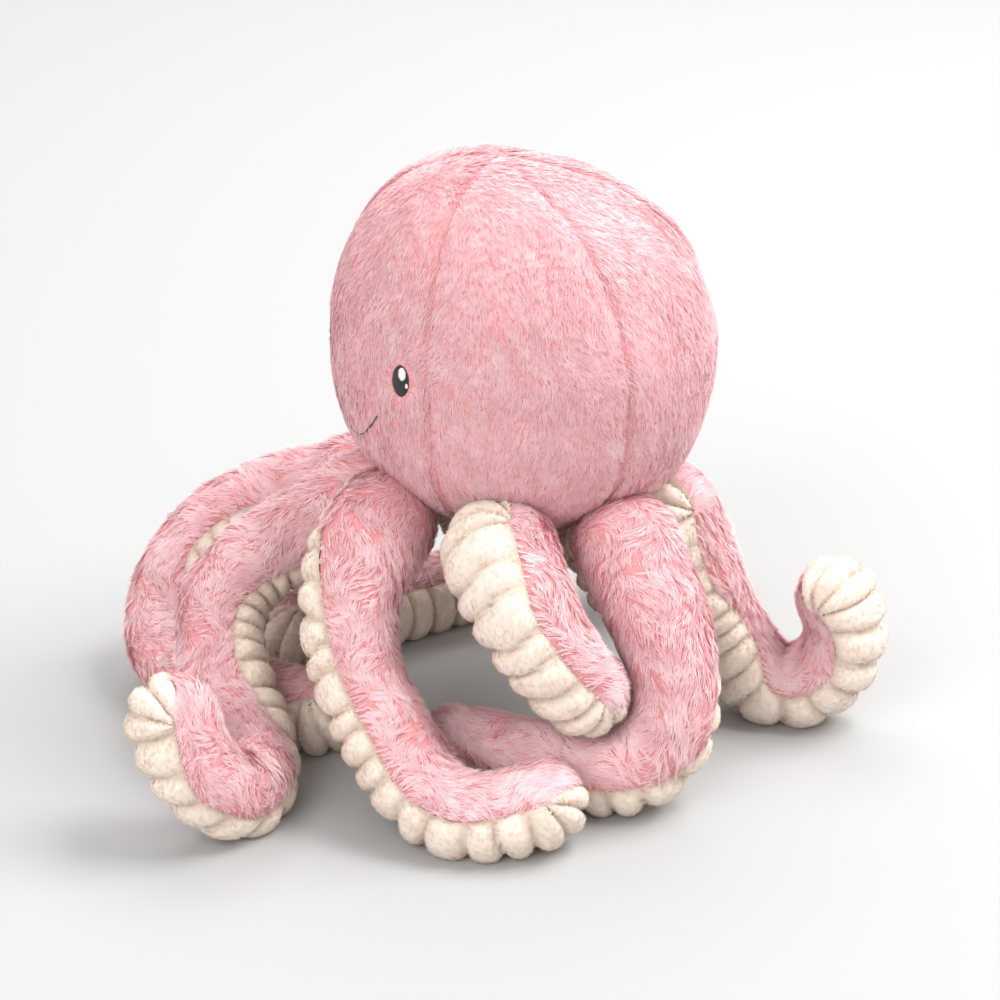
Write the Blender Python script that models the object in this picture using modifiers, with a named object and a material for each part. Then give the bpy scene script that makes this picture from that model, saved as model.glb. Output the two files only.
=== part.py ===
"""A plush octopus: a stuffed head sewn from six gores on a ribbed base, and eight stuffed arms.

The toy stands on the floor at z = 0 and its face looks along -Y, so its own left side is at +X.
All lengths are in metres.
"""

import math

import bmesh
import bpy
from mathutils import Vector

# Head: a ball that is a little flatter below its widest ring
HEAD_RADIUS = 0.0765
HEAD_CROWN_RISE = 0.0745
HEAD_BASE_DROP = 0.0725
HEAD_MIDDLE_HEIGHT = 0.163
HEAD_MIDDLE_ACROSS = -0.0025
HEAD_MIDDLE_BACK = 0.0211
CROWN_LEAN = 0.013
CROWN_ROUNDNESS = 2.0
BASE_ROUNDNESS = 2.5
CROWN_OPENING_RADIUS = 0.002
BASE_PANEL_RADIUS = 0.040
BASE_PANEL_SAG = 0.026
GORE_COUNT = 6
FACE_GORE_TURN = math.radians(68)
GORE_COLUMNS = 5
GORE_ROWS = 9
BASE_SPOKES = 24
BASE_RINGS = 4

# Fabric and the clearances between sewn pieces
FUR_CLOTH_THICKNESS = 0.003
RIBBED_CLOTH_THICKNESS = 0.0035
SEAM_GAP = 0.0004
STUFFING_GAP = 0.0004
FLOOR_CUT = 0.0005
MERGE_DISTANCE = 0.0001

# Arms: one length and one girth for all eight, each lying in its own way
ARM_COUNT = 8
ARM_RING_TURN = math.radians(10)
ARM_RADIUS = 0.0155
ARM_TIP_RADIUS = 0.0145
ARM_REACH = 0.160
ARM_STATIONS = 16
CURVE_STEPS = 24
SMOOTH_STEPS = 12
TURNING_SHARE = 0.55
RIBBED_COLUMNS = 4
FUR_COLUMNS = 5
FILLING_COLUMNS = 6
FILLING_WIDTH_SHARE = 0.88
ROOT_ROWS = 2
TIP_ROWS = 3
SEAM_RISE_STATIONS = 2.0
RIBBED_HALF_TURN = math.radians(70)
RIBBED_TIP_TURN = math.radians(110)
HALF_TURN = math.pi
QUARTER_TURN = math.pi / 2

# Embroidered face
EYE_WIDTH = 0.0085
EYE_HEIGHT = 0.0125
EYE_THICKNESS = 0.0010
EYE_SPREAD = math.radians(24.5)
EYE_LEVEL = 0.1665
EYE_SEAT_GAP = 0.0003
GLINT_WIDTH = 0.0030
GLINT_HEIGHT = 0.0038
GLINT_THICKNESS = 0.0006
GLINT_ACROSS_SHARE = 0.12
GLINT_UP_SHARE = 0.26
PATCH_SIDES = 16
GLINT_SIDES = 10
SMILE_HALF_WIDTH = 0.022
SMILE_LEVEL = 0.1497
SMILE_DROP = 0.0142
SMILE_THREAD_RADIUS = 0.00055
SMILE_POINTS = 15

# How each arm lies: its place round the head, how far out it is sewn on, in shares of the head's
# radius, how near its root's middle is to the head, in shares of the arm's radius, then the points
# that its middle line passes after the root. A point is out from the head's axis and sideways, in
# shares of the reach, and up, in shares of the root's height above a resting arm. The last three
# numbers point to the fur side.
ARM_ROUTE_SHARES = {
    "front": (0, 0.78, 0.935, (
        (0.53, 0.04, 0.93, (-0.5, 0.5, 0.8)),
        (0.63, 0.11, 0.60, (-0.8, 0.5, 0.3)),
        (0.63, 0.27, 0.25, (-0.8, 0.3, 0.5)),
        (0.61, 0.43, 0.01, (-0.5, -0.3, 0.8)),
        (0.53, 0.54, 0.00, (-0.4, -0.5, 0.8)),
        (0.42, 0.60, 0.05, (-0.3, -0.4, 0.8)),
    )),
    "front_left": (1, 0.78, 0.959, (
        (0.52, 0.04, 0.90, (-0.7, 0.7, 0.1)),
        (0.57, 0.11, 0.70, (-0.7, 0.7, 0.1)),
        (0.56, 0.17, 0.53, (-0.7, 0.7, 0.2)),
        (0.54, 0.21, 0.44, (-0.6, 0.7, 0.3)),
    )),
    "left": (2, 0.71, 0.955, (
        (0.51, -0.01, 0.78, (0.5, -0.2, 0.8)),
        (0.62, -0.01, 0.50, (0.5, -0.8, 0.3)),
        (0.65, -0.07, 0.18, (-0.1, -0.6, 0.8)),
        (0.58, -0.16, 0.00, (-0.4, 0.2, 0.9)),
        (0.41, -0.26, 0.00, (-0.3, 0.2, 0.9)),
        (0.23, -0.38, 0.00, (-0.2, 0.1, 1.0)),
    )),
    "back_left": (3, 0.65, 0.954, (
        (0.43, -0.01, 0.66, (0.4, 0.7, 0.7)),
        (0.50, 0.02, 0.39, (0.2, 0.9, 0.4)),
        (0.57, 0.01, 0.11, (0.0, 0.8, 0.6)),
        (0.67, -0.01, -0.03, (-0.2, 0.5, 0.8)),
        (0.78, -0.02, 0.10, (-0.8, 0.4, 0.5)),
        (0.83, -0.02, 0.34, (-0.9, 0.4, 0.0)),
        (0.80, -0.01, 0.54, (-0.7, 0.5, -0.5)),
    )),
    "back": (4, 0.65, 0.938, (
        (0.50, 0.10, 0.60, (0.6, 0.4, 0.6)),
        (0.59, 0.19, 0.34, (0.7, 0.4, 0.5)),
        (0.67, 0.26, 0.09, (0.5, 0.5, 0.7)),
        (0.77, 0.29, -0.02, (-0.1, 0.4, 0.9)),
        (0.85, 0.26, 0.03, (-0.5, 0.3, 0.8)),
    )),
    "back_right": (5, 0.65, 0.909, (
        (0.54, 0.01, 0.73, (0.6, 0.1, 0.8)),
        (0.62, 0.05, 0.39, (0.9, 0.1, 0.5)),
        (0.56, 0.13, 0.04, (0.9, 0.1, 0.5)),
        (0.43, 0.29, 0.00, (0.9, 0.1, 0.4)),
        (0.28, 0.45, 0.00, (0.9, 0.1, 0.3)),
        (0.15, 0.62, 0.00, (0.9, 0.1, 0.3)),
    )),
    "right": (6, 0.65, 0.946, (
        (0.52, 0.15, 0.85, (0.4, 0.1, 0.9)),
        (0.68, 0.36, 0.74, (0.8, 0.0, 0.6)),
        (0.75, 0.57, 0.44, (0.9, 0.3, 0.3)),
        (0.64, 0.70, 0.07, (0.5, 0.7, 0.5)),
        (0.45, 0.71, 0.00, (0.2, 0.2, 0.9)),
        (0.28, 0.64, 0.00, (0.4, -0.3, 0.8)),
        (0.13, 0.55, 0.00, (0.6, -0.5, 0.6)),
    )),
    "front_right": (7, 0.65, 0.957, (
        (0.56, 0.09, 0.85, (0.3, 0.2, 0.9)),
        (0.73, 0.22, 0.66, (0.8, 0.1, 0.6)),
        (0.72, 0.38, 0.38, (0.9, 0.1, 0.0)),
        (0.61, 0.52, 0.08, (0.8, -0.1, 0.3)),
        (0.57, 0.66, -0.03, (0.3, -0.2, 0.9)),
        (0.61, 0.78, 0.06, (-0.3, -0.3, 0.9)),
        (0.69, 0.82, 0.28, (-0.8, -0.4, 0.5)),
        (0.73, 0.80, 0.50, (-0.9, -0.4, 0.1)),
    )),
}


def clear_scene():
    """Start from an empty scene."""
    for old in list(bpy.data.objects):
        bpy.data.objects.remove(old, do_unlink=True)


def new_collection(name):
    """Make a collection in the scene."""
    collection = bpy.data.collections.new(name)
    bpy.context.scene.collection.children.link(collection)
    return collection


def plain_material(name, colour, roughness):
    """Make a cloth or thread material."""
    material = bpy.data.materials.new(name)
    material.use_nodes = True
    shader = material.node_tree.nodes["Principled BSDF"]
    shader.inputs["Base Color"].default_value = (*colour, 1.0)
    shader.inputs["Roughness"].default_value = roughness
    shader.inputs["Metallic"].default_value = 0.0
    return material


def finish_solid(bm, name, material, collection, origin=None, parent=None):
    """Turn a bmesh in world coordinates into a named solid that may hang on a hinge empty."""
    bmesh.ops.remove_doubles(bm, verts=bm.verts[:], dist=MERGE_DISTANCE)
    bmesh.ops.recalc_face_normals(bm, faces=bm.faces[:])
    if origin is not None:
        bmesh.ops.translate(bm, verts=bm.verts[:], vec=-origin)
    mesh = bpy.data.meshes.new(name)
    bm.to_mesh(mesh)
    bm.free()
    mesh.shade_smooth()
    mesh.materials.append(material)
    solid = bpy.data.objects.new(name, mesh)
    collection.objects.link(solid)
    solid.parent = parent
    return solid


def split_seam_faces(bm):
    """Cut each face along the block's two long seams on one diagonal, so that a twisted seam's
    two edges stay parallel."""
    for face in bm.faces[:]:
        places = [vert.co.x for vert in face.verts]
        if min(places) == max(places) and places[0] in (0.0, 1.0):
            ordered = sorted(face.verts, key=lambda vert: (vert.co.y, vert.co.z))
            bmesh.utils.face_split(face, ordered[0], ordered[-1])


def cloth_block(columns, rows):
    """Make a closed block, one cloth thick: x and y run 0 to 1 over it, z is 0 outside, 1 inside."""
    bm = bmesh.new()
    bmesh.ops.create_grid(bm, x_segments=columns, y_segments=rows, size=0.5)
    bmesh.ops.translate(bm, verts=bm.verts[:], vec=(0.5, 0.5, 0.0))
    sheet = bm.verts[:] + bm.edges[:] + bm.faces[:]
    copy = bmesh.ops.extrude_face_region(bm, geom=sheet, use_keep_orig=True)["geom"]
    inner = [item for item in copy if isinstance(item, bmesh.types.BMVert)]
    bmesh.ops.translate(bm, verts=inner, vec=(0.0, 0.0, 1.0))
    split_seam_faces(bm)
    return bm


# Head

def head_radius(latitude, depth):
    """Give the head's radius at a latitude, measured the given depth below the surface."""
    roundness = CROWN_ROUNDNESS if latitude > 0 else BASE_ROUNDNESS
    return (HEAD_RADIUS - depth) * math.cos(latitude) ** (2 / roundness)


def head_point(turn, latitude, depth):
    """Give a point on the head: turn runs round from the face, latitude from base to crown."""
    radius = head_radius(latitude, depth)
    rise = math.sin(latitude)
    if latitude > 0:
        height = (HEAD_CROWN_RISE - depth) * rise ** (2 / CROWN_ROUNDNESS)
        lean = CROWN_LEAN * rise ** 2
    else:
        height = -(HEAD_BASE_DROP - depth) * (-rise) ** (2 / BASE_ROUNDNESS)
        lean = 0.0
    across = HEAD_MIDDLE_ACROSS + radius * math.sin(turn)
    back = HEAD_MIDDLE_BACK - radius * math.cos(turn) - lean
    return Vector((across, back, HEAD_MIDDLE_HEIGHT + height))


def base_latitude(radius):
    """Give the latitude below the widest ring at which the head has this radius."""
    return -math.acos((radius / HEAD_RADIUS) ** (BASE_ROUNDNESS / 2))


def latitude_at_height(height):
    """Give the latitude at which the head's surface has this height above the floor."""
    rise = height - HEAD_MIDDLE_HEIGHT
    if rise > 0:
        return math.asin((rise / HEAD_CROWN_RISE) ** (CROWN_ROUNDNESS / 2))
    return -math.asin((-rise / HEAD_BASE_DROP) ** (BASE_ROUNDNESS / 2))


def gore_latitudes():
    """Give the latitudes of a gore's rows, from the base seam up to the crown."""
    bottom = base_latitude(BASE_PANEL_RADIUS + SEAM_GAP)
    top = math.acos(CROWN_OPENING_RADIUS / HEAD_RADIUS)
    return [bottom + (top - bottom) * row / GORE_ROWS for row in range(GORE_ROWS + 1)]


def gore_seam(number):
    """Give how far round the head a gore's first seam is; gore 0, the widest, carries the face."""
    if number == 0:
        return -FACE_GORE_TURN / 2
    other_turn = (2 * math.pi - FACE_GORE_TURN) / (GORE_COUNT - 1)
    return FACE_GORE_TURN / 2 + other_turn * (number - 1)


def build_gore(name, number, material, collection):
    """Sew in one gore of the head: a spindle of fur cloth from the crown to the base seam."""
    latitudes = gore_latitudes()
    first_seam = gore_seam(number)
    last_seam = gore_seam(number + 1)
    middle_turn = (first_seam + last_seam) / 2
    bm = cloth_block(GORE_COLUMNS, GORE_ROWS)
    for vert in bm.verts:
        across, up, inside = vert.co
        latitude = latitudes[round(up * GORE_ROWS)]
        gap_turn = math.asin(SEAM_GAP / 2 / head_radius(latitude, 0.0))
        half_width = (last_seam - first_seam) / 2 - gap_turn
        turn = middle_turn + half_width * (2 * across - 1)
        vert.co = head_point(turn, latitude, inside * FUR_CLOTH_THICKNESS)
    return finish_solid(bm, name, material, collection)


def base_panel_drop(radius):
    """Give how far the stuffing pushes the base panel down at a radius inside its seam."""
    return BASE_PANEL_SAG * max(1 - (radius / BASE_PANEL_RADIUS) ** 2, 0.0)


def build_base_panel(material, collection):
    """Close the head below with a round panel of ribbed cloth that the arms are sewn round."""
    rim = base_latitude(BASE_PANEL_RADIUS)
    profile = []
    for depth, order in ((RIBBED_CLOTH_THICKNESS, 1), (0.0, -1)):
        for ring in range(BASE_RINGS + 1)[::order]:
            latitude = -QUARTER_TURN + (rim + QUARTER_TURN) * ring / BASE_RINGS
            radius = head_radius(latitude, depth) if ring else 0.0
            height = head_point(0.0, latitude, depth).z - base_panel_drop(radius)
            profile.append((radius, 0.0, height))
    mesh = bpy.data.meshes.new("base_panel")
    edges = [(index, index + 1) for index in range(len(profile) - 1)]
    mesh.from_pydata(profile, edges, [])
    mesh.materials.append(material)
    panel = bpy.data.objects.new("base_panel", mesh)
    panel.location = (HEAD_MIDDLE_ACROSS, HEAD_MIDDLE_BACK, 0.0)
    collection.objects.link(panel)
    turned = panel.modifiers.new("turned", "SCREW")
    turned.steps = BASE_SPOKES
    turned.render_steps = BASE_SPOKES
    turned.use_merge_vertices = True
    turned.merge_threshold = MERGE_DISTANCE
    turned.use_smooth_shade = True
    return panel


def build_head_filling(material, collection):
    """Fill the head with stuffing, a ball that presses on the gores and the base."""
    depth = RIBBED_CLOTH_THICKNESS + STUFFING_GAP
    latitudes = [-QUARTER_TURN, *gore_latitudes(), QUARTER_TURN]
    rings = len(latitudes) - 1
    columns = GORE_COUNT * GORE_COLUMNS
    bm = bmesh.new()
    bmesh.ops.create_uvsphere(bm, u_segments=columns, v_segments=rings, radius=1.0)
    for vert in bm.verts:
        from_base = math.acos(max(-1.0, min(1.0, -vert.co.z)))
        latitude = latitudes[round(from_base / math.pi * rings)]
        round_share = math.atan2(vert.co.y, vert.co.x) / (2 * math.pi)
        gore, column = divmod(round(round_share * columns) % columns, GORE_COLUMNS)
        first_seam = gore_seam(gore)
        turn = first_seam + (gore_seam(gore + 1) - first_seam) * column / GORE_COLUMNS
        vert.co = head_point(turn, latitude, depth)
        if latitude < latitudes[1]:
            vert.co.z -= base_panel_drop(0.0)
    return finish_solid(bm, "head_filling", material, collection)


# Arms

def catmull_rom(rows, steps):
    """Give rows of numbers on one smooth curve through the given rows."""
    ends = [[2 * a - b for a, b in zip(rows[0], rows[1])]]
    ends += [list(row) for row in rows]
    ends.append([2 * a - b for a, b in zip(rows[-1], rows[-2])])
    curve = []
    for p0, p1, p2, p3 in zip(ends, ends[1:], ends[2:], ends[3:]):
        for step in range(steps):
            t = step / steps
            curve.append([
                0.5 * (2 * b + (c - a) * t + (2 * a - 5 * b + 4 * c - d) * t ** 2
                       + (3 * b - a - 3 * c + d) * t ** 3)
                for a, b, c, d in zip(p0, p1, p2, p3)
            ])
    curve.append(list(rows[-1]))
    return curve


def smoothed(rows, reach):
    """Ease the bends of a curve: each row becomes the mean of those near it, twice over."""
    for _ in range(2):
        eased = []
        for index in range(len(rows)):
            near = min(reach, index, len(rows) - 1 - index)
            window = rows[index - near:index + near + 1]
            eased.append([sum(values) / len(window) for values in zip(*window)])
        rows = eased
    return rows


def arm_directions(place):
    """Give the directions out from the head and sideways for an arm's place round the head."""
    turn = place * 2 * math.pi / ARM_COUNT + ARM_RING_TURN
    out = Vector((math.sin(turn), -math.cos(turn), 0.0))
    side = Vector((math.cos(turn), math.sin(turn), 0.0))
    return out, side


def root_offset(seat_share, press_share):
    """Give how far out and how high an arm's root is, so that it meets the head's underside."""
    axial = (1 - seat_share ** BASE_ROUNDNESS) ** (1 / BASE_ROUNDNESS)
    slope = Vector((
        seat_share ** (BASE_ROUNDNESS - 1) / HEAD_RADIUS,
        -(axial ** (BASE_ROUNDNESS - 1)) / HEAD_BASE_DROP,
    )).normalized()
    away = ARM_RADIUS * press_share
    height = HEAD_MIDDLE_HEIGHT - HEAD_BASE_DROP * axial
    return seat_share * HEAD_RADIUS + slope.x * away, height + slope.y * away


def arm_hinge(name):
    """Give the middle of an arm's root, where its seam lets it turn."""
    place, seat_share, press_share, _route = ARM_ROUTE_SHARES[name]
    out, _side = arm_directions(place)
    radius, height = root_offset(seat_share, press_share)
    return out * radius + Vector((HEAD_MIDDLE_ACROSS, HEAD_MIDDLE_BACK, height))


def arm_line(name):
    """Give an arm's middle line as many close points, each with its fur direction and radius."""
    place, seat_share, press_share, route = ARM_ROUTE_SHARES[name]
    out, side = arm_directions(place)
    root_radius, root_height = root_offset(seat_share, press_share)
    first_fur = route[0][3]
    rows = [[root_radius / ARM_REACH, 0.0, 1.0, *first_fur]]
    rows += [[away, along, up, *fur] for away, along, up, fur in route]
    curve = smoothed(catmull_rom(rows, CURVE_STEPS), SMOOTH_STEPS)
    line = []
    for index, (away, along, up, fur_out, fur_side, fur_up) in enumerate(curve):
        share = index / (len(curve) - 1)
        radius = ARM_RADIUS + (ARM_TIP_RADIUS - ARM_RADIUS) * share
        resting = radius - FLOOR_CUT
        height = resting + (root_height - resting) * max(up, 0.0)
        centre = out * (away * ARM_REACH) + side * (along * ARM_REACH)
        centre += Vector((HEAD_MIDDLE_ACROSS, HEAD_MIDDLE_BACK, height))
        fur = out * fur_out + side * fur_side + Vector((0.0, 0.0, fur_up))
        line.append((centre, fur, radius))
    return line


def arm_stations(name):
    """Choose an arm's sections, closer together where it bends, each with its own directions."""
    line = arm_line(name)
    steps = [b[0] - a[0] for a, b in zip(line, line[1:])]
    lengths = [step.length for step in steps]
    turns = [0.0] + [a.angle(b) for a, b in zip(steps, steps[1:])]
    whole_length = sum(lengths)
    whole_turn = sum(turns)
    effort = [0.0]
    for length, turn in zip(lengths, turns):
        share = (1 - TURNING_SHARE) * length / whole_length + TURNING_SHARE * turn / whole_turn
        effort.append(effort[-1] + share)
    stations = []
    for number in range(ARM_STATIONS):
        wanted = effort[-1] * number / (ARM_STATIONS - 1)
        index = min(range(len(effort)), key=lambda i: abs(effort[i] - wanted))
        before = line[max(index - 1, 0)][0]
        after = line[min(index + 1, len(line) - 1)][0]
        forward = (after - before).normalized()
        centre, fur, radius = line[index]
        up = (fur - forward * fur.dot(forward)).normalized()
        stations.append((centre, forward, up, forward.cross(up), radius))
    return stations


def ribbed_half_turn(number):
    """Give half the ribbed cloth's turn round the arm: it widens to half way round at both ends."""
    from_end = min(number, ARM_STATIONS - 1 - number)
    share = min(from_end / SEAM_RISE_STATIONS, 1.0)
    return QUARTER_TURN + (RIBBED_HALF_TURN - QUARTER_TURN) * share


def arm_panel_point(stations, ribbed, across, row, depth):
    """Give a point on one of an arm's two panels, whose ends wrap the arm's rounded ends.

    Past the first and last sections the panel swings round the arm's sideways line, so all its
    seam points there fall together at the end of that line.
    """
    number = min(max(row - ROOT_ROWS, 0), ARM_STATIONS - 1)
    centre, forward, up, side, radius = stations[number]
    middle = -up if ribbed else up
    gap_turn = math.asin(SEAM_GAP / 2 / radius)
    half_turn = ribbed_half_turn(number)
    tip_turn = RIBBED_TIP_TURN
    if not ribbed:
        half_turn = HALF_TURN - half_turn
        tip_turn = HALF_TURN - tip_turn
    on_seam = across in (0.0, 1.0)
    if row < ROOT_ROWS and not on_seam:
        tilt = (QUARTER_TURN - gap_turn) * (ROOT_ROWS - row) / ROOT_ROWS
        middle = middle * math.cos(tilt) - forward * math.sin(tilt)
    past_tip = row - ROOT_ROWS - (ARM_STATIONS - 1)
    if past_tip > 0 and not on_seam:
        tilt = (tip_turn - gap_turn) * past_tip / TIP_ROWS
        middle = middle * math.cos(tilt) + forward * math.sin(tilt)
    angle = (half_turn - gap_turn) * (2 * across - 1)
    return centre + (middle * math.cos(angle) + side * math.sin(angle)) * (radius - depth)


def build_arm_panel(name, stations, ribbed, material, collection, hinge):
    """Sew one of an arm's two panels: fur cloth on top, or ribbed cloth underneath."""
    columns = RIBBED_COLUMNS if ribbed else FUR_COLUMNS
    thickness = RIBBED_CLOTH_THICKNESS if ribbed else FUR_CLOTH_THICKNESS
    rows = ROOT_ROWS + ARM_STATIONS - 1 + TIP_ROWS
    bm = cloth_block(columns, rows)
    for vert in bm.verts:
        across, along, inside = vert.co
        row = round(along * rows)
        vert.co = arm_panel_point(stations, ribbed, across, row, inside * thickness)
    piece = "underside" if ribbed else "fur_panel"
    solid = finish_solid(bm, f"{name}_arm_{piece}", material, collection, hinge.location, hinge)
    return solid


def build_arm_filling(name, stations, material, collection, hinge):
    """Fill an arm with a round-ended roll of stuffing, closed inside the two panels."""
    rows = 2 + ARM_STATIONS
    bm = bmesh.new()
    bmesh.ops.create_uvsphere(bm, u_segments=FILLING_COLUMNS, v_segments=rows + 1, radius=1.0)
    for vert in bm.verts:
        latitude = math.asin(max(-1.0, min(1.0, vert.co.z)))
        turn = math.atan2(vert.co.y, vert.co.x)
        ring = round((latitude + QUARTER_TURN) / math.pi * (rows + 1))
        number = min(max(ring - 2, 0), ARM_STATIONS - 1)
        centre, forward, up, side, radius = stations[number]
        inner = (radius - RIBBED_CLOTH_THICKNESS - STUFFING_GAP) * FILLING_WIDTH_SHARE
        spread = 1.0
        push = 0.0
        if ring < 2 or ring > ARM_STATIONS + 1:
            poleward = ring in (0, rows + 1)
            spread = 0.0 if poleward else math.sin(QUARTER_TURN / 2)
            push = inner * (1.0 if poleward else math.cos(QUARTER_TURN / 2))
            push = -push if ring < 2 else push
        around = up * math.cos(turn) + side * math.sin(turn)
        vert.co = centre + around * (inner * spread) + forward * push
    return finish_solid(bm, f"{name}_arm_filling", material, collection, hinge.location, hinge)


def build_arm(name, materials, collection, cutter):
    """Make an arm's three pieces on an empty at its root, and flatten the panels on the floor."""
    hinge = bpy.data.objects.new(f"{name}_arm_root", None)
    collection.objects.link(hinge)
    hinge.location = arm_hinge(name)
    stations = arm_stations(name)
    fur = build_arm_panel(name, stations, False, materials["pink_fur"], collection, hinge)
    ribbed = build_arm_panel(name, stations, True, materials["cream_ribbed"], collection, hinge)
    build_arm_filling(name, stations, materials["stuffing"], collection, hinge)
    for solid in (fur, ribbed):
        cut = solid.modifiers.new("rest_on_floor", "BOOLEAN")
        cut.operation = "DIFFERENCE"
        cut.object = cutter


def floor_cutter(collection):
    """Make the block below the floor that flattens the arms where they rest."""
    reach = 2 * ARM_REACH
    bpy.ops.mesh.primitive_cube_add(size=1.0, location=(0.0, 0.0, -reach / 2))
    cutter = bpy.context.object
    cutter.name = "floor_cutter"
    cutter.scale = (2 * reach, 2 * reach, reach)
    for old in list(cutter.users_collection):
        old.objects.unlink(cutter)
    collection.objects.link(cutter)
    cutter.hide_render = True
    cutter.display_type = "WIRE"
    return cutter


# Face

def face_place(turn, height, proud):
    """Give a point over the face, the given distance proud of the head's surface."""
    return head_point(turn, latitude_at_height(height), -proud)


def build_patch(name, turn, level, width, height, seat, thickness, sides, material, collection):
    """Make an oval patch of satin stitch that follows the head's surface."""
    bm = bmesh.new()
    bmesh.ops.create_cone(
        bm, cap_ends=True, segments=sides, radius1=0.5, radius2=0.5, depth=1.0
    )
    around = HEAD_RADIUS * math.cos(latitude_at_height(level))
    for vert in bm.verts:
        across = vert.co.x * width
        up = vert.co.y * height
        proud = seat + (vert.co.z + 0.5) * thickness
        vert.co = face_place(turn + across / around, level + up, proud)
    return finish_solid(bm, name, material, collection)


def build_eye(side_name, turn, materials, collection):
    """Embroider one eye: a black oval with a white glint on it."""
    build_patch(f"{side_name}_eye", turn, EYE_LEVEL, EYE_WIDTH, EYE_HEIGHT, EYE_SEAT_GAP,
                EYE_THICKNESS, PATCH_SIDES, materials["black_thread"], collection)
    around = HEAD_RADIUS * math.cos(latitude_at_height(EYE_LEVEL))
    glint_turn = turn + GLINT_ACROSS_SHARE * EYE_WIDTH / around
    glint_level = EYE_LEVEL + GLINT_UP_SHARE * EYE_HEIGHT
    seat = EYE_SEAT_GAP + EYE_THICKNESS + SEAM_GAP
    build_patch(f"{side_name}_eye_glint", glint_turn, glint_level, GLINT_WIDTH, GLINT_HEIGHT,
                seat, GLINT_THICKNESS, GLINT_SIDES, materials["white_thread"], collection)


def build_smile(material, collection):
    """Embroider the mouth: one brown thread that hangs in a shallow bow over the face."""
    curve = bpy.data.curves.new("smile", "CURVE")
    curve.dimensions = "3D"
    curve.bevel_depth = SMILE_THREAD_RADIUS
    curve.bevel_resolution = 1
    curve.use_fill_caps = True
    bow = curve.splines.new("POLY")
    bow.points.add(SMILE_POINTS - 1)
    around = HEAD_RADIUS * math.cos(latitude_at_height(SMILE_LEVEL))
    for index, point in enumerate(bow.points):
        across = 2 * index / (SMILE_POINTS - 1) - 1
        level = SMILE_LEVEL - SMILE_DROP * (1 - across ** 2)
        turn = across * SMILE_HALF_WIDTH / around
        place = face_place(turn, level, EYE_SEAT_GAP + SMILE_THREAD_RADIUS)
        point.co = (*place, 1.0)
    smile = bpy.data.objects.new("smile", curve)
    smile.data.materials.append(material)
    collection.objects.link(smile)


def build():
    """Make the whole toy."""
    clear_scene()
    toy = new_collection("plush_octopus")
    cutters = new_collection("cutters")
    materials = {
        "pink_fur": plain_material("pink_fur", (0.86, 0.46, 0.52), 0.95),
        "cream_ribbed": plain_material("cream_ribbed", (0.87, 0.78, 0.67), 0.95),
        "stuffing": plain_material("stuffing", (0.90, 0.90, 0.88), 1.0),
        "black_thread": plain_material("black_thread", (0.02, 0.02, 0.02), 0.5),
        "white_thread": plain_material("white_thread", (0.95, 0.95, 0.95), 0.5),
        "brown_thread": plain_material("brown_thread", (0.20, 0.07, 0.06), 0.6),
    }
    gores = ("face", "left_front", "left_back", "back", "right_back", "right_front")
    for number, gore in enumerate(gores):
        build_gore(f"{gore}_gore", number, materials["pink_fur"], toy)
    build_base_panel(materials["cream_ribbed"], toy)
    build_head_filling(materials["stuffing"], toy)
    cutter = floor_cutter(cutters)
    for name in ARM_ROUTE_SHARES:
        build_arm(name, materials, toy, cutter)
    build_eye("left", EYE_SPREAD, materials, toy)
    build_eye("right", -EYE_SPREAD, materials, toy)
    build_smile(materials["brown_thread"], toy)


build()
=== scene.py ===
# %% [markdown]
# # A pink plush octopus
#
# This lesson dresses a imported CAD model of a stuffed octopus: a round head sewn from six spindles
# of fur cloth, eight arms with fur on top and chunky ribbed cloth below, and an embroidered face.
# The CAD model gives each piece its place and each arm its hinge. The lesson adds what makes it
# look soft: pile made of real fibres, ribs, stitches and stuffing.
#
# All lengths are in metres. The toy stands on z = 0 and its face looks along -Y.

import math

import bpy
import numpy as np
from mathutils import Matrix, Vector


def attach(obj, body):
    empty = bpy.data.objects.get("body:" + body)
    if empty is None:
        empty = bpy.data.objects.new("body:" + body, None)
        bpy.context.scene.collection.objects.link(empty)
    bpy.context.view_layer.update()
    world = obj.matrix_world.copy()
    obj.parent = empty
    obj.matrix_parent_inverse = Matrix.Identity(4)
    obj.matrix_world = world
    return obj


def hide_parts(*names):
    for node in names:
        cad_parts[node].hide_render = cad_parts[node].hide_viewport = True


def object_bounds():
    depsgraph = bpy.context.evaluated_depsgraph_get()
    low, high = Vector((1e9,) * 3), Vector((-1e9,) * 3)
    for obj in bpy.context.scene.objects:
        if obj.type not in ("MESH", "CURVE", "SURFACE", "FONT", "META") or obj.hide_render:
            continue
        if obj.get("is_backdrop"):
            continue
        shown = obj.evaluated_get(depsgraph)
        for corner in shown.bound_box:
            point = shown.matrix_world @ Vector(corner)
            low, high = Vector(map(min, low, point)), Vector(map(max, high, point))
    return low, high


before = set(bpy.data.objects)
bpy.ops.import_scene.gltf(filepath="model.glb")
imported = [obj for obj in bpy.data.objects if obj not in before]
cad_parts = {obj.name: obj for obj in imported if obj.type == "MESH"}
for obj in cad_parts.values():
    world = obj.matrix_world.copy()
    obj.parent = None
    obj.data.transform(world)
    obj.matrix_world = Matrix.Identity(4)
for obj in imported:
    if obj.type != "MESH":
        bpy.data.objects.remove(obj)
MM = 0.001
cad_low, cad_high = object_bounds()
print("CAD box:", [round(v, 4) for v in (*cad_low, *cad_high)])

# %% [markdown]
# ## The camera
#
# The photograph looks down at 24 degrees, from the toy's own left. A long lens from about a metre
# away gives the same mild perspective. The camera is turned towards one point near the toy's
# middle, so moving that point slides the picture and nothing else.

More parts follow.
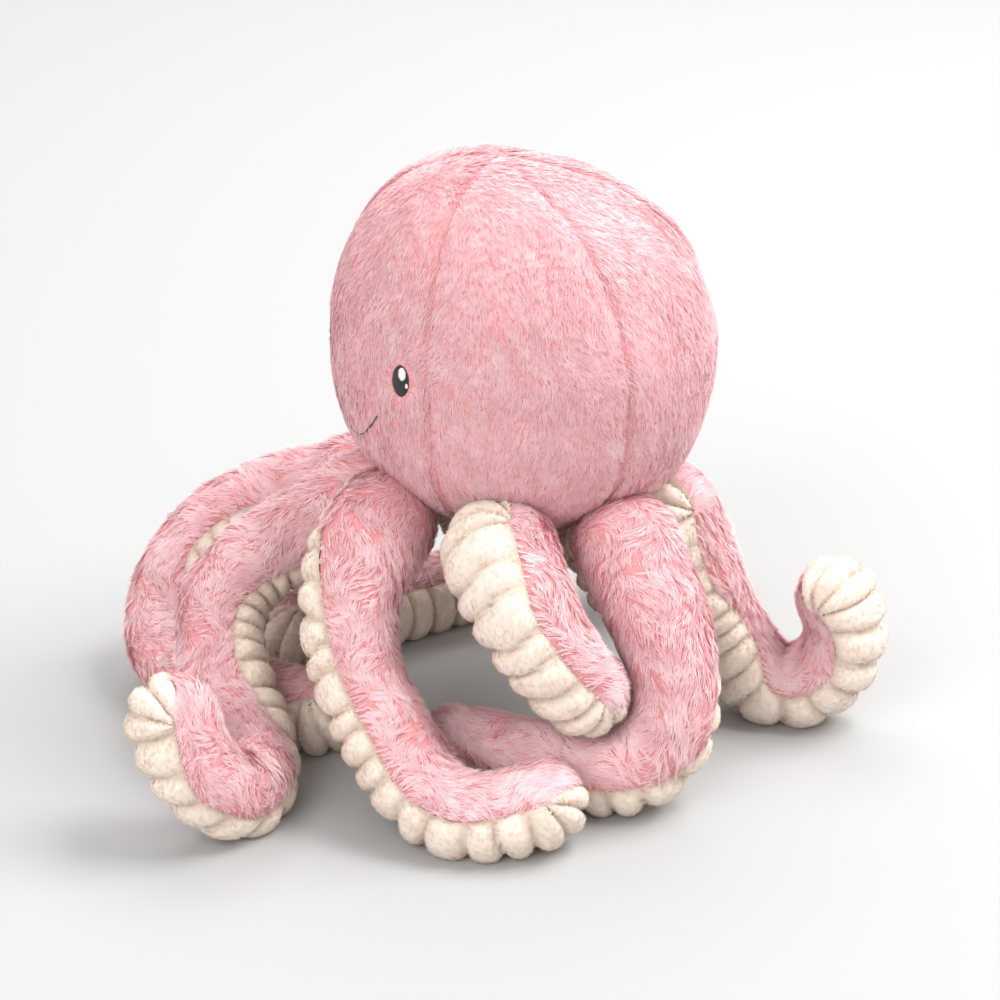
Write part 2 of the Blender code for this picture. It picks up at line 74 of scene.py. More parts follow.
# %% Camera
CAMERA_TURN = math.radians(62)
CAMERA_RISE = math.radians(24)
CAMERA_DISTANCE = 1.1
CAMERA_LENS = 97.8
HEAD_MIDDLE = Vector((-0.0025, 0.0211, 0.163))
LOOK_ACROSS = -0.0093
LOOK_HEIGHT = 0.091

to_right = Vector((math.cos(CAMERA_TURN), math.sin(CAMERA_TURN), 0.0))
to_camera = Vector((math.sin(CAMERA_TURN), -math.cos(CAMERA_TURN), 0.0))
looked_at = Vector((HEAD_MIDDLE.x, HEAD_MIDDLE.y, LOOK_HEIGHT)) + to_right * LOOK_ACROSS
backward = to_camera * math.cos(CAMERA_RISE) + Vector((0, 0, math.sin(CAMERA_RISE)))
camera = bpy.data.objects.new("camera", bpy.data.cameras.new("camera"))
bpy.context.scene.collection.objects.link(camera)
camera.data.lens = CAMERA_LENS
camera.location = looked_at + backward * CAMERA_DISTANCE
camera.rotation_euler = backward.to_track_quat("Z", "Y").to_euler()
bpy.context.scene.camera = camera
print("camera at", [round(v, 3) for v in camera.location])

# %% [markdown]
# ## Floor and light
#
# The photograph is a plain studio picture: a white floor that runs out of the frame, and light
# from everywhere, a little stronger from above. A large plane is the floor. Three wide area lamps
# light it: the main one hangs high on the picture's right, a weaker one fills the shade from the
# front, and the third brightens the floor behind the toy. A pale world keeps every shadow soft.

# %% Floor, lamps and world
FLOOR_SIZE = 12.0
FLOOR_GREY = 0.44
WORLD_STRENGTH = 0.75
bpy.ops.mesh.primitive_plane_add(size=FLOOR_SIZE)
floor = bpy.context.object
floor.name = "floor"
floor_paint = bpy.data.materials.new("floor_paint")
floor_paint.use_nodes = True
floor_shader = floor_paint.node_tree.nodes["Principled BSDF"]
floor_shader.inputs["Base Color"].default_value = (FLOOR_GREY, FLOOR_GREY, FLOOR_GREY, 1.0)
floor_shader.inputs["Roughness"].default_value = 0.9
floor_shader.inputs["Specular IOR Level"].default_value = 0.1
floor.data.materials.append(floor_paint)
floor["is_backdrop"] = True


def from_toy(right, nearer, up):
    """Give a place by its metres to the picture's right, towards the camera and up."""
    return looked_at + to_right * right + to_camera * nearer + Vector((0, 0, up))


def add_lamp(name, place, size, power, aim=looked_at):
    """Hang a square area lamp that points at the toy, or where it is told."""
    lamp = bpy.data.objects.new(name, bpy.data.lights.new(name, "AREA"))
    bpy.context.scene.collection.objects.link(lamp)
    lamp.data.size = size
    lamp.data.energy = power
    lamp.location = place
    lamp.rotation_euler = (place - aim).to_track_quat("Z", "Y").to_euler()


add_lamp("overhead_lamp", from_toy(1.2, -0.1, 1.7), 1.3, 56.0)
add_lamp("front_lamp", from_toy(-0.95, 1.6, 1.2), 1.3, 25.0)
add_lamp("backdrop_lamp", from_toy(0.0, -1.6, 2.0), 2.0, 40.0, aim=from_toy(0.0, -2.2, 0.0))

world = bpy.data.worlds.new("studio")
bpy.context.scene.world = world
world.use_nodes = True
background = world.node_tree.nodes["Background"]
background.inputs["Color"].default_value = (1.0, 1.0, 1.0, 1.0)
background.inputs["Strength"].default_value = WORLD_STRENGTH
bpy.context.scene.view_settings.view_transform = "Standard"

# %% [markdown]
# ## Smooth noise for hand-made irregularity
#
# Cloth that was sewn and stuffed by hand is never even. Blender's textures can't be read point by
# point from a script in one go, so this helper adds up a few sine waves that run in random
# directions. The result is smooth, repeatable, and quick for a hundred thousand points at once.

# %% Noise helper
def ripple(points, size, seed, waves=14):
    """Give smooth noise of about -1 to 1 at each point; size is the width of one lump."""
    dice = np.random.default_rng(seed)
    total = np.zeros(len(points))
    for _ in range(waves):
        direction = dice.normal(size=3)
        direction *= (2 * math.pi / size) * dice.uniform(0.6, 1.4) / np.linalg.norm(direction)
        total += np.sin(points @ direction + dice.uniform(0, 2 * math.pi))
    return total / math.sqrt(waves / 2)


def unit(vectors):
    """Scale each row to length one."""
    return vectors / np.maximum(np.linalg.norm(vectors, axis=1, keepdims=True), 1e-12)


def on_surface(vectors, normal):
    """Take out what each vector has along the normal, and scale the rest to length one."""
    return unit(vectors - normal * np.sum(vectors * normal, 1)[:, None])


sample = ripple(np.random.default_rng(1).uniform(-1, 1, (1000, 3)), 0.1, 7)
print("noise spread:", round(float(sample.std()), 2))

# %% [markdown]
# ## Fibre colours
#
# Plush pile is darker down at the cloth, where light hardly reaches, and palest at the tips.
# Neighbouring tufts also differ a little. Both could be a texture, but here each fibre is real, so
# its own map coordinates can carry the numbers: across the map is the tuft's shade and up the map
# is the way from root to tip. Two colour ramps and one mix turn that into the finished colour.
# The surface is quite rough, because such pile has no gloss.

# %% Pile material
MIX_FIRST_COLOUR, MIX_SECOND_COLOUR, MIX_RESULT = 6, 7, 2


def pile_material(name, roots, tips):
    """Colour fibres by their map: shade across, root to tip upwards."""
    material = bpy.data.materials.new(name)
    material.use_nodes = True
    nodes, links = material.node_tree.nodes, material.node_tree.links
    shader = nodes["Principled BSDF"]
    shader.inputs["Roughness"].default_value = 1.0
    shader.inputs["Specular IOR Level"].default_value = 0.02
    fibre_map = nodes.new("ShaderNodeUVMap")
    fibre_map.uv_map = "OFBake"
    split = nodes.new("ShaderNodeSeparateXYZ")
    links.new(fibre_map.outputs["UV"], split.inputs["Vector"])
    mix = nodes.new("ShaderNodeMix")
    mix.data_type = "RGBA"
    for socket, colours in ((MIX_FIRST_COLOUR, roots), (MIX_SECOND_COLOUR, tips)):
        ramp = nodes.new("ShaderNodeValToRGB")
        ramp.color_ramp.elements.new(0.5)
        for stop, (place, colour) in enumerate(zip((0.0, 0.5, 1.0), colours)):
            ramp.color_ramp.elements[stop].position = place
            ramp.color_ramp.elements[stop].color = (*colour, 1.0)
        links.new(split.outputs["X"], ramp.inputs["Fac"])
        links.new(ramp.outputs["Color"], mix.inputs[socket])
    links.new(split.outputs["Y"], mix.inputs["Factor"])
    links.new(mix.outputs[MIX_RESULT], shader.inputs["Base Color"])
    return material


pink_pile = pile_material(
    "pink_pile",
    ((0.63, 0.28, 0.30), (0.77, 0.40, 0.425), (0.87, 0.53, 0.555)),
    ((0.81, 0.47, 0.495), (0.88, 0.60, 0.625), (0.96, 0.78, 0.80)),
)
# The darkest stops of cream_pile are painted shade, used in the rib valleys and on the base panel.
cream_pile = pile_material(
    "cream_pile",
    ((0.46, 0.33, 0.25), (0.78, 0.65, 0.54), (0.87, 0.76, 0.66)),
    ((0.60, 0.46, 0.37), (0.84, 0.73, 0.64), (0.92, 0.84, 0.77)),
)
print("pile materials:", pink_pile.name, cream_pile.name)

# %% [markdown]
# ## Cloth under the pile
#
# Between the fibres the knitted backing shows, and it decides how deep the pile looks. It gets its
# own material: the deep colour of the roots, which is painted shade down between the fibres,
# broken up by a fine noise like the loops of a knit, with a small bump. The same recipe in white
# makes the loose stuffing.

# %% Backing material
def cloth_material(name, dark, light, grain, bump):
    """Make knitted cloth: two close colours mixed by a fine noise that also bumps the surface."""
    material = bpy.data.materials.new(name)
    material.use_nodes = True
    nodes, links = material.node_tree.nodes, material.node_tree.links
    shader = nodes["Principled BSDF"]
    shader.inputs["Roughness"].default_value = 0.9
    shader.inputs["Specular IOR Level"].default_value = 0.1
    place = nodes.new("ShaderNodeTexCoord")
    noise = nodes.new("ShaderNodeTexNoise")
    noise.inputs["Scale"].default_value = grain
    noise.inputs["Detail"].default_value = 4.0
    links.new(place.outputs["Object"], noise.inputs["Vector"])
    ramp = nodes.new("ShaderNodeValToRGB")
    for stop, (position, colour) in enumerate(((0.35, dark), (0.65, light))):
        ramp.color_ramp.elements[stop].color = (*colour, 1.0)
        ramp.color_ramp.elements[stop].position = position
    links.new(noise.outputs["Fac"], ramp.inputs["Fac"])
    links.new(ramp.outputs["Color"], shader.inputs["Base Color"])
    dent = nodes.new("ShaderNodeBump")
    dent.inputs["Strength"].default_value = bump
    dent.inputs["Distance"].default_value = 0.5 * MM
    links.new(noise.outputs["Fac"], dent.inputs["Height"])
    links.new(dent.outputs["Normal"], shader.inputs["Normal"])
    return material


# pink_cloth's colours are as deep as the pile's roots: painted shade down between the fibres.
pink_cloth = cloth_material("pink_cloth", (0.64, 0.26, 0.27), (0.74, 0.34, 0.35), 900.0, 0.5)
# This cream cloth is painted tan: the shade in the hollow under the head, where it is used.
cream_cloth_in_painted_shade = cloth_material("cream_cloth_in_painted_shade", (0.50, 0.35, 0.26), (0.62, 0.46, 0.36), 700.0, 0.6)
stuffing_fibre = cloth_material(
    "stuffing_fibre", (0.78, 0.78, 0.76), (0.93, 0.93, 0.91), 400.0, 0.8)
print("cloth materials:", pink_cloth.name, cream_cloth_in_painted_shade.name, stuffing_fibre.name)

# %% [markdown]
# ## Turning arrays into meshes
#
# A hundred thousand fibres would take minutes with one call per fibre. Blender takes whole arrays
# much faster, so one helper hands over points, faces and map coordinates in one go. All faces of
# one call have the same number of corners. Cloth is a grid of points, so two more helpers give
# the places of such a grid and its four-cornered faces.

# %% Mesh helpers
def mesh_piece(name, points, faces, material, uv=None, normals=None):
    """Make an object from arrays: a row of faces holds the point numbers of one face.

    uv has a row for each point, normals one for each corner of each face."""
    mesh = bpy.data.meshes.new(name)
    corners = faces.ravel().astype(np.int32)
    starts = np.arange(0, len(corners), faces.shape[1], dtype=np.int32)
    mesh.vertices.add(len(points))
    mesh.vertices.foreach_set("co", np.asarray(points, np.float32).ravel())
    mesh.loops.add(len(corners))
    mesh.loops.foreach_set("vertex_index", corners)
    mesh.polygons.add(len(faces))
    mesh.polygons.foreach_set("loop_start", starts)
    mesh.polygons.foreach_set("use_smooth", np.ones(len(faces), bool))
    mesh.update(calc_edges=True)
    if uv is not None:
        layer = mesh.uv_layers.new(name="OFBake")
        layer.uv.foreach_set("vector", uv[corners].astype(np.float32).ravel())
    if normals is not None:
        mesh.normals_split_custom_set(unit(normals).tolist())
    mesh.materials.append(material)
    piece = bpy.data.objects.new(name, mesh)
    bpy.context.scene.collection.objects.link(piece)
    return piece


def grid_places(first, second):
    """Give both values at each point of a grid, as two flat arrays."""
    return [values.ravel() for values in np.meshgrid(first, second)]


def grid_faces(columns, rows):
    """Give the four-cornered faces of a grid of (rows + 1) lines of (columns + 1) points."""
    index = np.arange((rows + 1) * (columns + 1)).reshape(rows + 1, columns + 1)
    quads = [index[:-1, :-1], index[:-1, 1:], index[1:, 1:], index[1:, :-1]]
    return np.stack([quad.ravel() for quad in quads], 1)


print("faces in a grid of 3 by 2:", len(grid_faces(3, 2)))

# %% [markdown]
# ## Growing pile
#
# Fur could be Blender's hair, but hair isn't geometry, and this model has to travel to other
# programs. So each fibre is a thin spike of three faces: two corners and a low keel at its root,
# and one point at its tip. Fibres stand in tufts, whose tips lean together, and that is what makes
# plush look like plush and not like velvet. A fibre's upper face borrows most of its shading from
# the cloth, because real pile scatters light softly. Its two lower faces keep more of their own.

# %% Fibre helpers
ROOT_DEPTH = 0.08 * MM
FLOOR_CLEARANCE = 0.2 * MM
LOWER_LENGTH, UPPER_LENGTH = 0.45, 0.55
LOWER_SPREAD, UPPER_SPREAD = 0.10, 0.16
FIBRE_ROLL = 0.5
KEEL = 0.15
MAP_MARGIN = 0.02


def in_tufts(dice, picks, side, ahead, reach):
    """Give each fibre's offset from the middle of its tuft; picks holds the fibres' tufts."""
    angle = dice.uniform(0, 2 * math.pi, len(picks))
    away = reach * np.sqrt(dice.uniform(0, 1, len(picks)))
    around = side[picks] * np.cos(angle)[:, None] + ahead[picks] * np.sin(angle)[:, None]
    return around * away[:, None]


def grow_pile(name, tuft, offset, normal, lay, length, width, rise, pull, shade, seed, material):
    """Grow a fibre at each tuft + offset along lay, and give the finished piece.

    rise is (root angle, tip angle) above the cloth, pull the share of the offset by which a tip
    leans back to its tuft, and shade the place on the colour ramps."""
    dice = np.random.default_rng(seed)
    count = len(tuft)
    low, high = rise
    side = unit(np.cross(normal, lay))

    def heading(angle, spread):
        lean = lay * np.cos(angle)[:, None] + normal * np.sin(angle)[:, None]
        return unit(lean + side * dice.normal(0, spread, (count, 1)))

    root = tuft + offset - normal * ROOT_DEPTH
    bend = heading(low, LOWER_SPREAD) * (length * LOWER_LENGTH)[:, None]
    bend = bend + heading(high, UPPER_SPREAD) * (length * UPPER_LENGTH)[:, None]
    tip = root + bend - offset * pull
    roll = dice.uniform(-FIBRE_ROLL, FIBRE_ROLL, (count, 1))
    wide = unit(side * np.cos(roll) + np.cross(unit(bend), side) * np.sin(roll))
    half = wide * (width / 2)[:, None]
    facing = unit(np.cross(half, tip - root))
    backward = np.sum(facing * normal, 1)[:, None] < 0
    half, facing = np.where(backward, -half, half), np.where(backward, -facing, facing)
    below = root - facing * (width * KEEL)[:, None]
    points = np.stack([root - half, root + half, below, tip], 1)
    points[..., 2] = np.maximum(points[..., 2], FLOOR_CLEARANCE)
    sides = np.arange(count)[:, None, None] * 4 + np.array([[[0, 1, 3], [1, 2, 3], [2, 0, 3]]])
    uv = np.zeros((count, 4, 2))
    uv[..., 0] = np.clip(shade, 0.03, 0.97)[:, None]
    uv[..., 0] += np.array([-MAP_MARGIN, MAP_MARGIN, 0.0, 0.0])
    uv[..., 1] = np.array([MAP_MARGIN, MAP_MARGIN, MAP_MARGIN, 1 - MAP_MARGIN])
    above = normal * 0.9 + facing * 0.1
    right = unit(np.cross(below - root - half, tip - root - half)) * 0.75 + normal * 0.25
    left = unit(np.cross(root - half - below, tip - below)) * 0.75 + normal * 0.25
    shading = np.repeat(np.stack([above, right, left], 1), 3, 1)
    return mesh_piece(name, points.reshape(-1, 3), sides.reshape(-1, 3), material,
                      uv.reshape(-1, 2), shading.reshape(-1, 3))


print("a fibre has 4 points and 3 faces")

# %% [markdown]
# ## The head's shape
#
# The head is a ball with a slightly flatter underside. A point on it is given by how far it is
# turned from the face and by its latitude, and how proud of the cloth it lies. Where two gores
# meet, the seam draws the cloth in, and the stuffing pushes it out in slow lumps elsewhere.

# %% Head surface
HEAD_RADIUS = 0.0765
CROWN_RISE = 0.0745
BASE_DROP = 0.0725
CROWN_ROUNDNESS = 2.0
BASE_ROUNDNESS = 2.5
CROWN_LEAN = 0.013
BASE_PANEL_RADIUS = 0.040
FACE_TURN = math.radians(68)
OTHER_TURN = (2 * math.pi - FACE_TURN) / 5
SEAM_DEPTH = 1.4 * MM
SEAM_WIDTH = 2.4 * MM
LUMP_HEIGHT = 0.7 * MM
LUMP_WIDTH = 0.055
BASE_LATITUDE = -math.acos((BASE_PANEL_RADIUS / HEAD_RADIUS) ** (BASE_ROUNDNESS / 2))


def head_points(turn, latitude, proud):
    """Give points on the head for arrays of turn and latitude."""
    upper = latitude > 0
    power = np.where(upper, 2 / CROWN_ROUNDNESS, 2 / BASE_ROUNDNESS)
    radius = (HEAD_RADIUS + proud) * np.maximum(np.cos(latitude), 1e-6) ** power
    rise = np.sin(latitude)
    reach = np.where(upper, CROWN_RISE, -BASE_DROP) + np.where(upper, proud, -proud)
    height = reach * np.abs(rise) ** power
    lean = np.where(upper, CROWN_LEAN * rise ** 2, 0.0)
    return np.stack([
        HEAD_MIDDLE.x + radius * np.sin(turn),
        HEAD_MIDDLE.y - radius * np.cos(turn) - lean,
        HEAD_MIDDLE.z + height,
    ], 1)


def head_lumps(turn, latitude):
    """Give how far the stuffing pushes the cloth out."""
    points = head_points(turn, latitude, np.zeros(len(latitude)))
    return LUMP_HEIGHT * ripple(points, LUMP_WIDTH, 3)


def head_cloth(turn, latitude, seam_distance):
    """Give points on the sewn cloth: drawn in at the seams, lumpy between them."""
    drawn_in = SEAM_DEPTH * np.exp(-(seam_distance / SEAM_WIDTH) ** 2)
    return head_points(turn, latitude, head_lumps(turn, latitude) - drawn_in)


def head_directions(turn, latitude):
    """Give the outward direction and the downward one along the head's surface."""
    step = 1e-3
    east = head_points(turn + step, latitude, 0.0) - head_points(turn - step, latitude, 0.0)
    north = head_points(turn, latitude + step, 0.0) - head_points(turn, latitude - step, 0.0)
    outward = unit(np.cross(east, north))
    return outward, unit(-north)


print("base seam at latitude", round(math.degrees(BASE_LATITUDE)), "degrees")

# %% [markdown]
# ## Places on the face
#
# The face is sewn on before the head is stuffed, so its stitches follow the cloth's lumps. The
# eyes and the smile are placed by their height and by metres round the head. The pile has to know
# where they are too, because it is trimmed and combed around them.

# %% Face layout
EYE_TURN = math.radians(24.5)
EYE_LEVEL = 0.1665
EYE_WIDTH = 0.0085
EYE_HEIGHT = 0.0125
SMILE_HALF_WIDTH = 0.0205
SMILE_LEVEL = 0.1497
SMILE_DROP = 0.0142
SMILE_STEEPNESS = 1.6


def around_head(level):
    """Give the head's radius at a height above the floor, up to the crown."""
    rise = (level - HEAD_MIDDLE.z) / np.where(level > HEAD_MIDDLE.z, CROWN_RISE, -BASE_DROP)
    power = np.where(level > HEAD_MIDDLE.z, CROWN_ROUNDNESS, BASE_ROUNDNESS)
    return HEAD_RADIUS * (1 - np.clip(rise, 0, 1) ** power) ** (1 / power)


def face_points(turn, level, proud):
    """Give points on the face's cloth by their turn, their height and how proud they lie."""
    rise = level - HEAD_MIDDLE.z
    share = np.where(rise > 0, rise / CROWN_RISE, -rise / BASE_DROP)
    power = np.where(rise > 0, CROWN_ROUNDNESS / 2, BASE_ROUNDNESS / 2)
    latitude = np.arcsin(np.clip(share, 0, 1) ** power) * np.sign(rise)
    return head_points(turn, latitude, proud + head_lumps(turn, latitude))


def smile_height(across):
    """Give the smile's height at a share of its half width."""
    return SMILE_LEVEL - SMILE_DROP * (1 - across ** 2)


def face_clearance(turn, height):
    """Give how far each point is from the eyes, from the smile and above the smile, in metres."""
    eyes = np.minimum(*[
        np.hypot((turn - side) * HEAD_RADIUS / (EYE_WIDTH / 2),
                 (height - EYE_LEVEL) / (EYE_HEIGHT / 2))
        for side in (EYE_TURN, -EYE_TURN)
    ])
    eyes = (eyes - 1) * EYE_WIDTH / 2
    across = np.clip(turn * around_head(SMILE_LEVEL) / SMILE_HALF_WIDTH, -1, 1)
    above = height - smile_height(across)
    beside = (np.abs(turn) * around_head(SMILE_LEVEL) - SMILE_HALF_WIDTH).clip(0)
    smile = np.hypot(above / np.sqrt(1 + SMILE_STEEPNESS * across ** 2), beside)
    return eyes, smile, above


print("radius at the smile, in mm:", round(float(around_head(SMILE_LEVEL)) / MM, 1))

# %% [markdown]
# ## Six gores of cloth
#
# Each gore is a spindle: wide round the head's middle and narrow at the crown. Its backing is a
# grid of points on the head's surface, drawn in along both seams.

# %% Gore cloth
GORES = ("face", "left_front", "left_back", "back", "right_back", "right_front")
GORE_COLUMNS = 24
GORE_ROWS = 48
CROWN_END = math.radians(88.5)


def gore_place(number):
    """Give the turn of a gore's middle and half of its width as a turn."""
    if number == 0:
        return 0.0, FACE_TURN / 2
    first = FACE_TURN / 2 + OTHER_TURN * (number - 1)
    last = first + OTHER_TURN
    return (first + last) / 2, (last - first) / 2


def gore_cloth(number, name):
    """Make a gore's cloth."""
    middle, half = gore_place(number)
    across, up = grid_places(np.linspace(-1, 1, GORE_COLUMNS + 1), np.linspace(0, 1, GORE_ROWS + 1))
    latitude = BASE_LATITUDE + (CROWN_END - BASE_LATITUDE) * up
    seam = (1 - np.abs(across)) * half * HEAD_RADIUS * np.cos(latitude)
    points = head_cloth(middle + half * across, latitude, seam)
    uv = np.stack([across / 2 + 0.5, up], 1)
    faces = grid_faces(GORE_COLUMNS, GORE_ROWS)
    return mesh_piece(f"{name}_gore_cloth", points, faces, pink_cloth, uv)


print("turn of the face gore:", round(math.degrees(2 * gore_place(0)[1])), "degrees")

# %% [markdown]
# ## Pile on the head
#
# The pile grows from tufts that are spread evenly over each gore: a random latitude is drawn more
# often where the head is wider. It lies downwards, as it does on the real toy, and wanders a little
# in slow swirls. Near the crown it is brushed to one side, and it leans over the seams, where it
# is painted darker as the shade in the drawn-in seam. Around the eyes it is combed outwards, and
# near the eyes and the mouth it is cut short, so that the stitches show.

# %% Gore pile
HEAD_TUFTS = 43000
HEAD_TUFT_FIBRES = 7
HEAD_TUFT_REACH = 1.25 * MM
HEAD_TIP_PULL = 0.3
HEAD_PILE_LENGTH = 3.3 * MM
HEAD_FIBRE_WIDTHS_IN_MM = (0.28, 0.42)
HEAD_PILE_RISE = math.radians(19)
HEAD_TIP_RISE = 0.08
HEAD_SHADE = 0.50
SEAM_PAINTED_SHADE = -0.34
CROWN_BRUSHED = 55 * MM
CROWN_PARTED = 40 * MM
COMBED_AROUND_EYES = 4.5 * MM


def spread_latitudes(count, dice):
    """Draw latitudes that spread points evenly over the head."""
    latitude = np.linspace(BASE_LATITUDE, CROWN_END, 400)
    line = head_points(np.zeros(400), latitude, 0.0)
    radius = HEAD_RADIUS * np.cos(latitude) ** 0.9
    length = np.linalg.norm(np.gradient(line, axis=0), axis=1)
    length = np.gradient(np.linspace(0, 1, 400)) * length
    share = np.cumsum(radius * length)
    return np.interp(dice.uniform(0, share[-1], count), share, latitude)


def trim_at_face(turn, height):
    """Give which tufts stay, the share of its length that each keeps, and the way to an eye."""
    eyes, smile, above = face_clearance(turn, height)
    keep = (eyes > 0.4 * MM) & (smile > 0.5 * MM)
    near = np.where(above > 0, smile / (1.2 * MM), smile / (0.6 * MM))
    share = np.clip(0.35 + 0.65 * near, 0.35, 1.0)
    share = share * np.clip(0.6 + 0.4 * eyes / (1.5 * MM), 0.6, 1.0)
    return keep, share, eyes


def gore_pile(number, name):
    """Grow a gore's pile; give the piece and the number of its fibres."""
    middle, half = gore_place(number)
    dice = np.random.default_rng(100 + number)
    tufts = round(HEAD_TUFTS * half / math.pi)
    turn = middle + half * dice.uniform(-1, 1, tufts)
    latitude = spread_latitudes(tufts, dice)
    seam = (half - np.abs(turn - middle)) * np.maximum(HEAD_RADIUS * np.cos(latitude), 1.5 * MM)
    crown = (math.radians(90) - latitude) * HEAD_RADIUS
    tuft = head_cloth(turn, latitude, seam)
    outward, down = head_directions(turn, latitude)
    side = np.cross(outward, down)

    swirl = 0.32 * ripple(tuft, 0.035, 11) + dice.normal(0, 0.24, tufts)
    swirl -= np.sign(turn - middle) * 0.35 * np.exp(-(seam / (2.5 * MM)) ** 2)
    lay = unit(down * np.cos(swirl)[:, None] + side * np.sin(swirl)[:, None])
    brushed = np.clip(1.1 - crown / CROWN_BRUSHED, 0, 1)[:, None] * np.array(to_right)
    lay = unit(lay * np.clip(crown / CROWN_PARTED, 0, 1)[:, None] + brushed)
    lay = on_surface(lay, outward)

    rise = HEAD_PILE_RISE + 0.07 * ripple(tuft, 0.018, 12) + dice.normal(0, 0.06, tufts)
    shade = HEAD_SHADE + 0.09 * ripple(tuft, 0.011, 13) + dice.normal(0, 0.07, tufts)
    # Pile beside a seam is painted darker, as the shade in the drawn-in seam; less so near the
    # crown.
    shade += SEAM_PAINTED_SHADE * np.exp(-(seam / (1.6 * MM)) ** 2) * np.clip(crown / (12 * MM), 0, 1)
    keep, share, eyes = trim_at_face(turn, tuft[:, 2])
    length = HEAD_PILE_LENGTH * (1 + dice.normal(0, 0.1, tufts)) * share
    eye = face_points(np.sign(turn) * EYE_TURN, np.full(tufts, EYE_LEVEL), 0.0)
    combed = np.clip(1.2 - eyes / COMBED_AROUND_EYES, 0, 1)[:, None]
    lay = on_surface(unit(lay * (1 - combed) + unit(tuft - eye) * combed), outward)

    picks = np.repeat(np.flatnonzero(keep), HEAD_TUFT_FIBRES)
    count = len(picks)
    offset = in_tufts(dice, picks, side, down, HEAD_TUFT_REACH)
    pile = grow_pile(
        f"{name}_gore_pile", tuft[picks], offset, outward[picks], lay[picks],
        length[picks] * (1 + dice.normal(0, 0.12, count)),
        dice.uniform(*HEAD_FIBRE_WIDTHS_IN_MM, count) * MM,
        (rise[picks] + dice.normal(0, 0.05, count), dice.normal(HEAD_TIP_RISE, 0.05, count)),
        HEAD_TIP_PULL, shade[picks] + dice.normal(0, 0.07, count), 200 + number, pink_pile,
    )
    return pile, count


head_fibres = 0
for number, name in enumerate(GORES):
    cloth = gore_cloth(number, name)
    pile, count = gore_pile(number, name)
    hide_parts(f"{name}_gore")
    for piece in (cloth, pile):
        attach(piece, "head")
    head_fibres += count
print("fibres on the head:", head_fibres)

# %% [markdown]
# ## How the arms lie
#
# The eight arms were sewn alike and then fell as they liked, so each has a route of its own. The
# numbers below are shares, as in the CAD model: first the arm's place round the head, how far out
# it is sewn on and how near its root is to the head, then the points its middle line passes: out,
# sideways and up, and the direction that its fur side faces there. A smooth curve runs through
# the points, and a moving mean eases its bends.

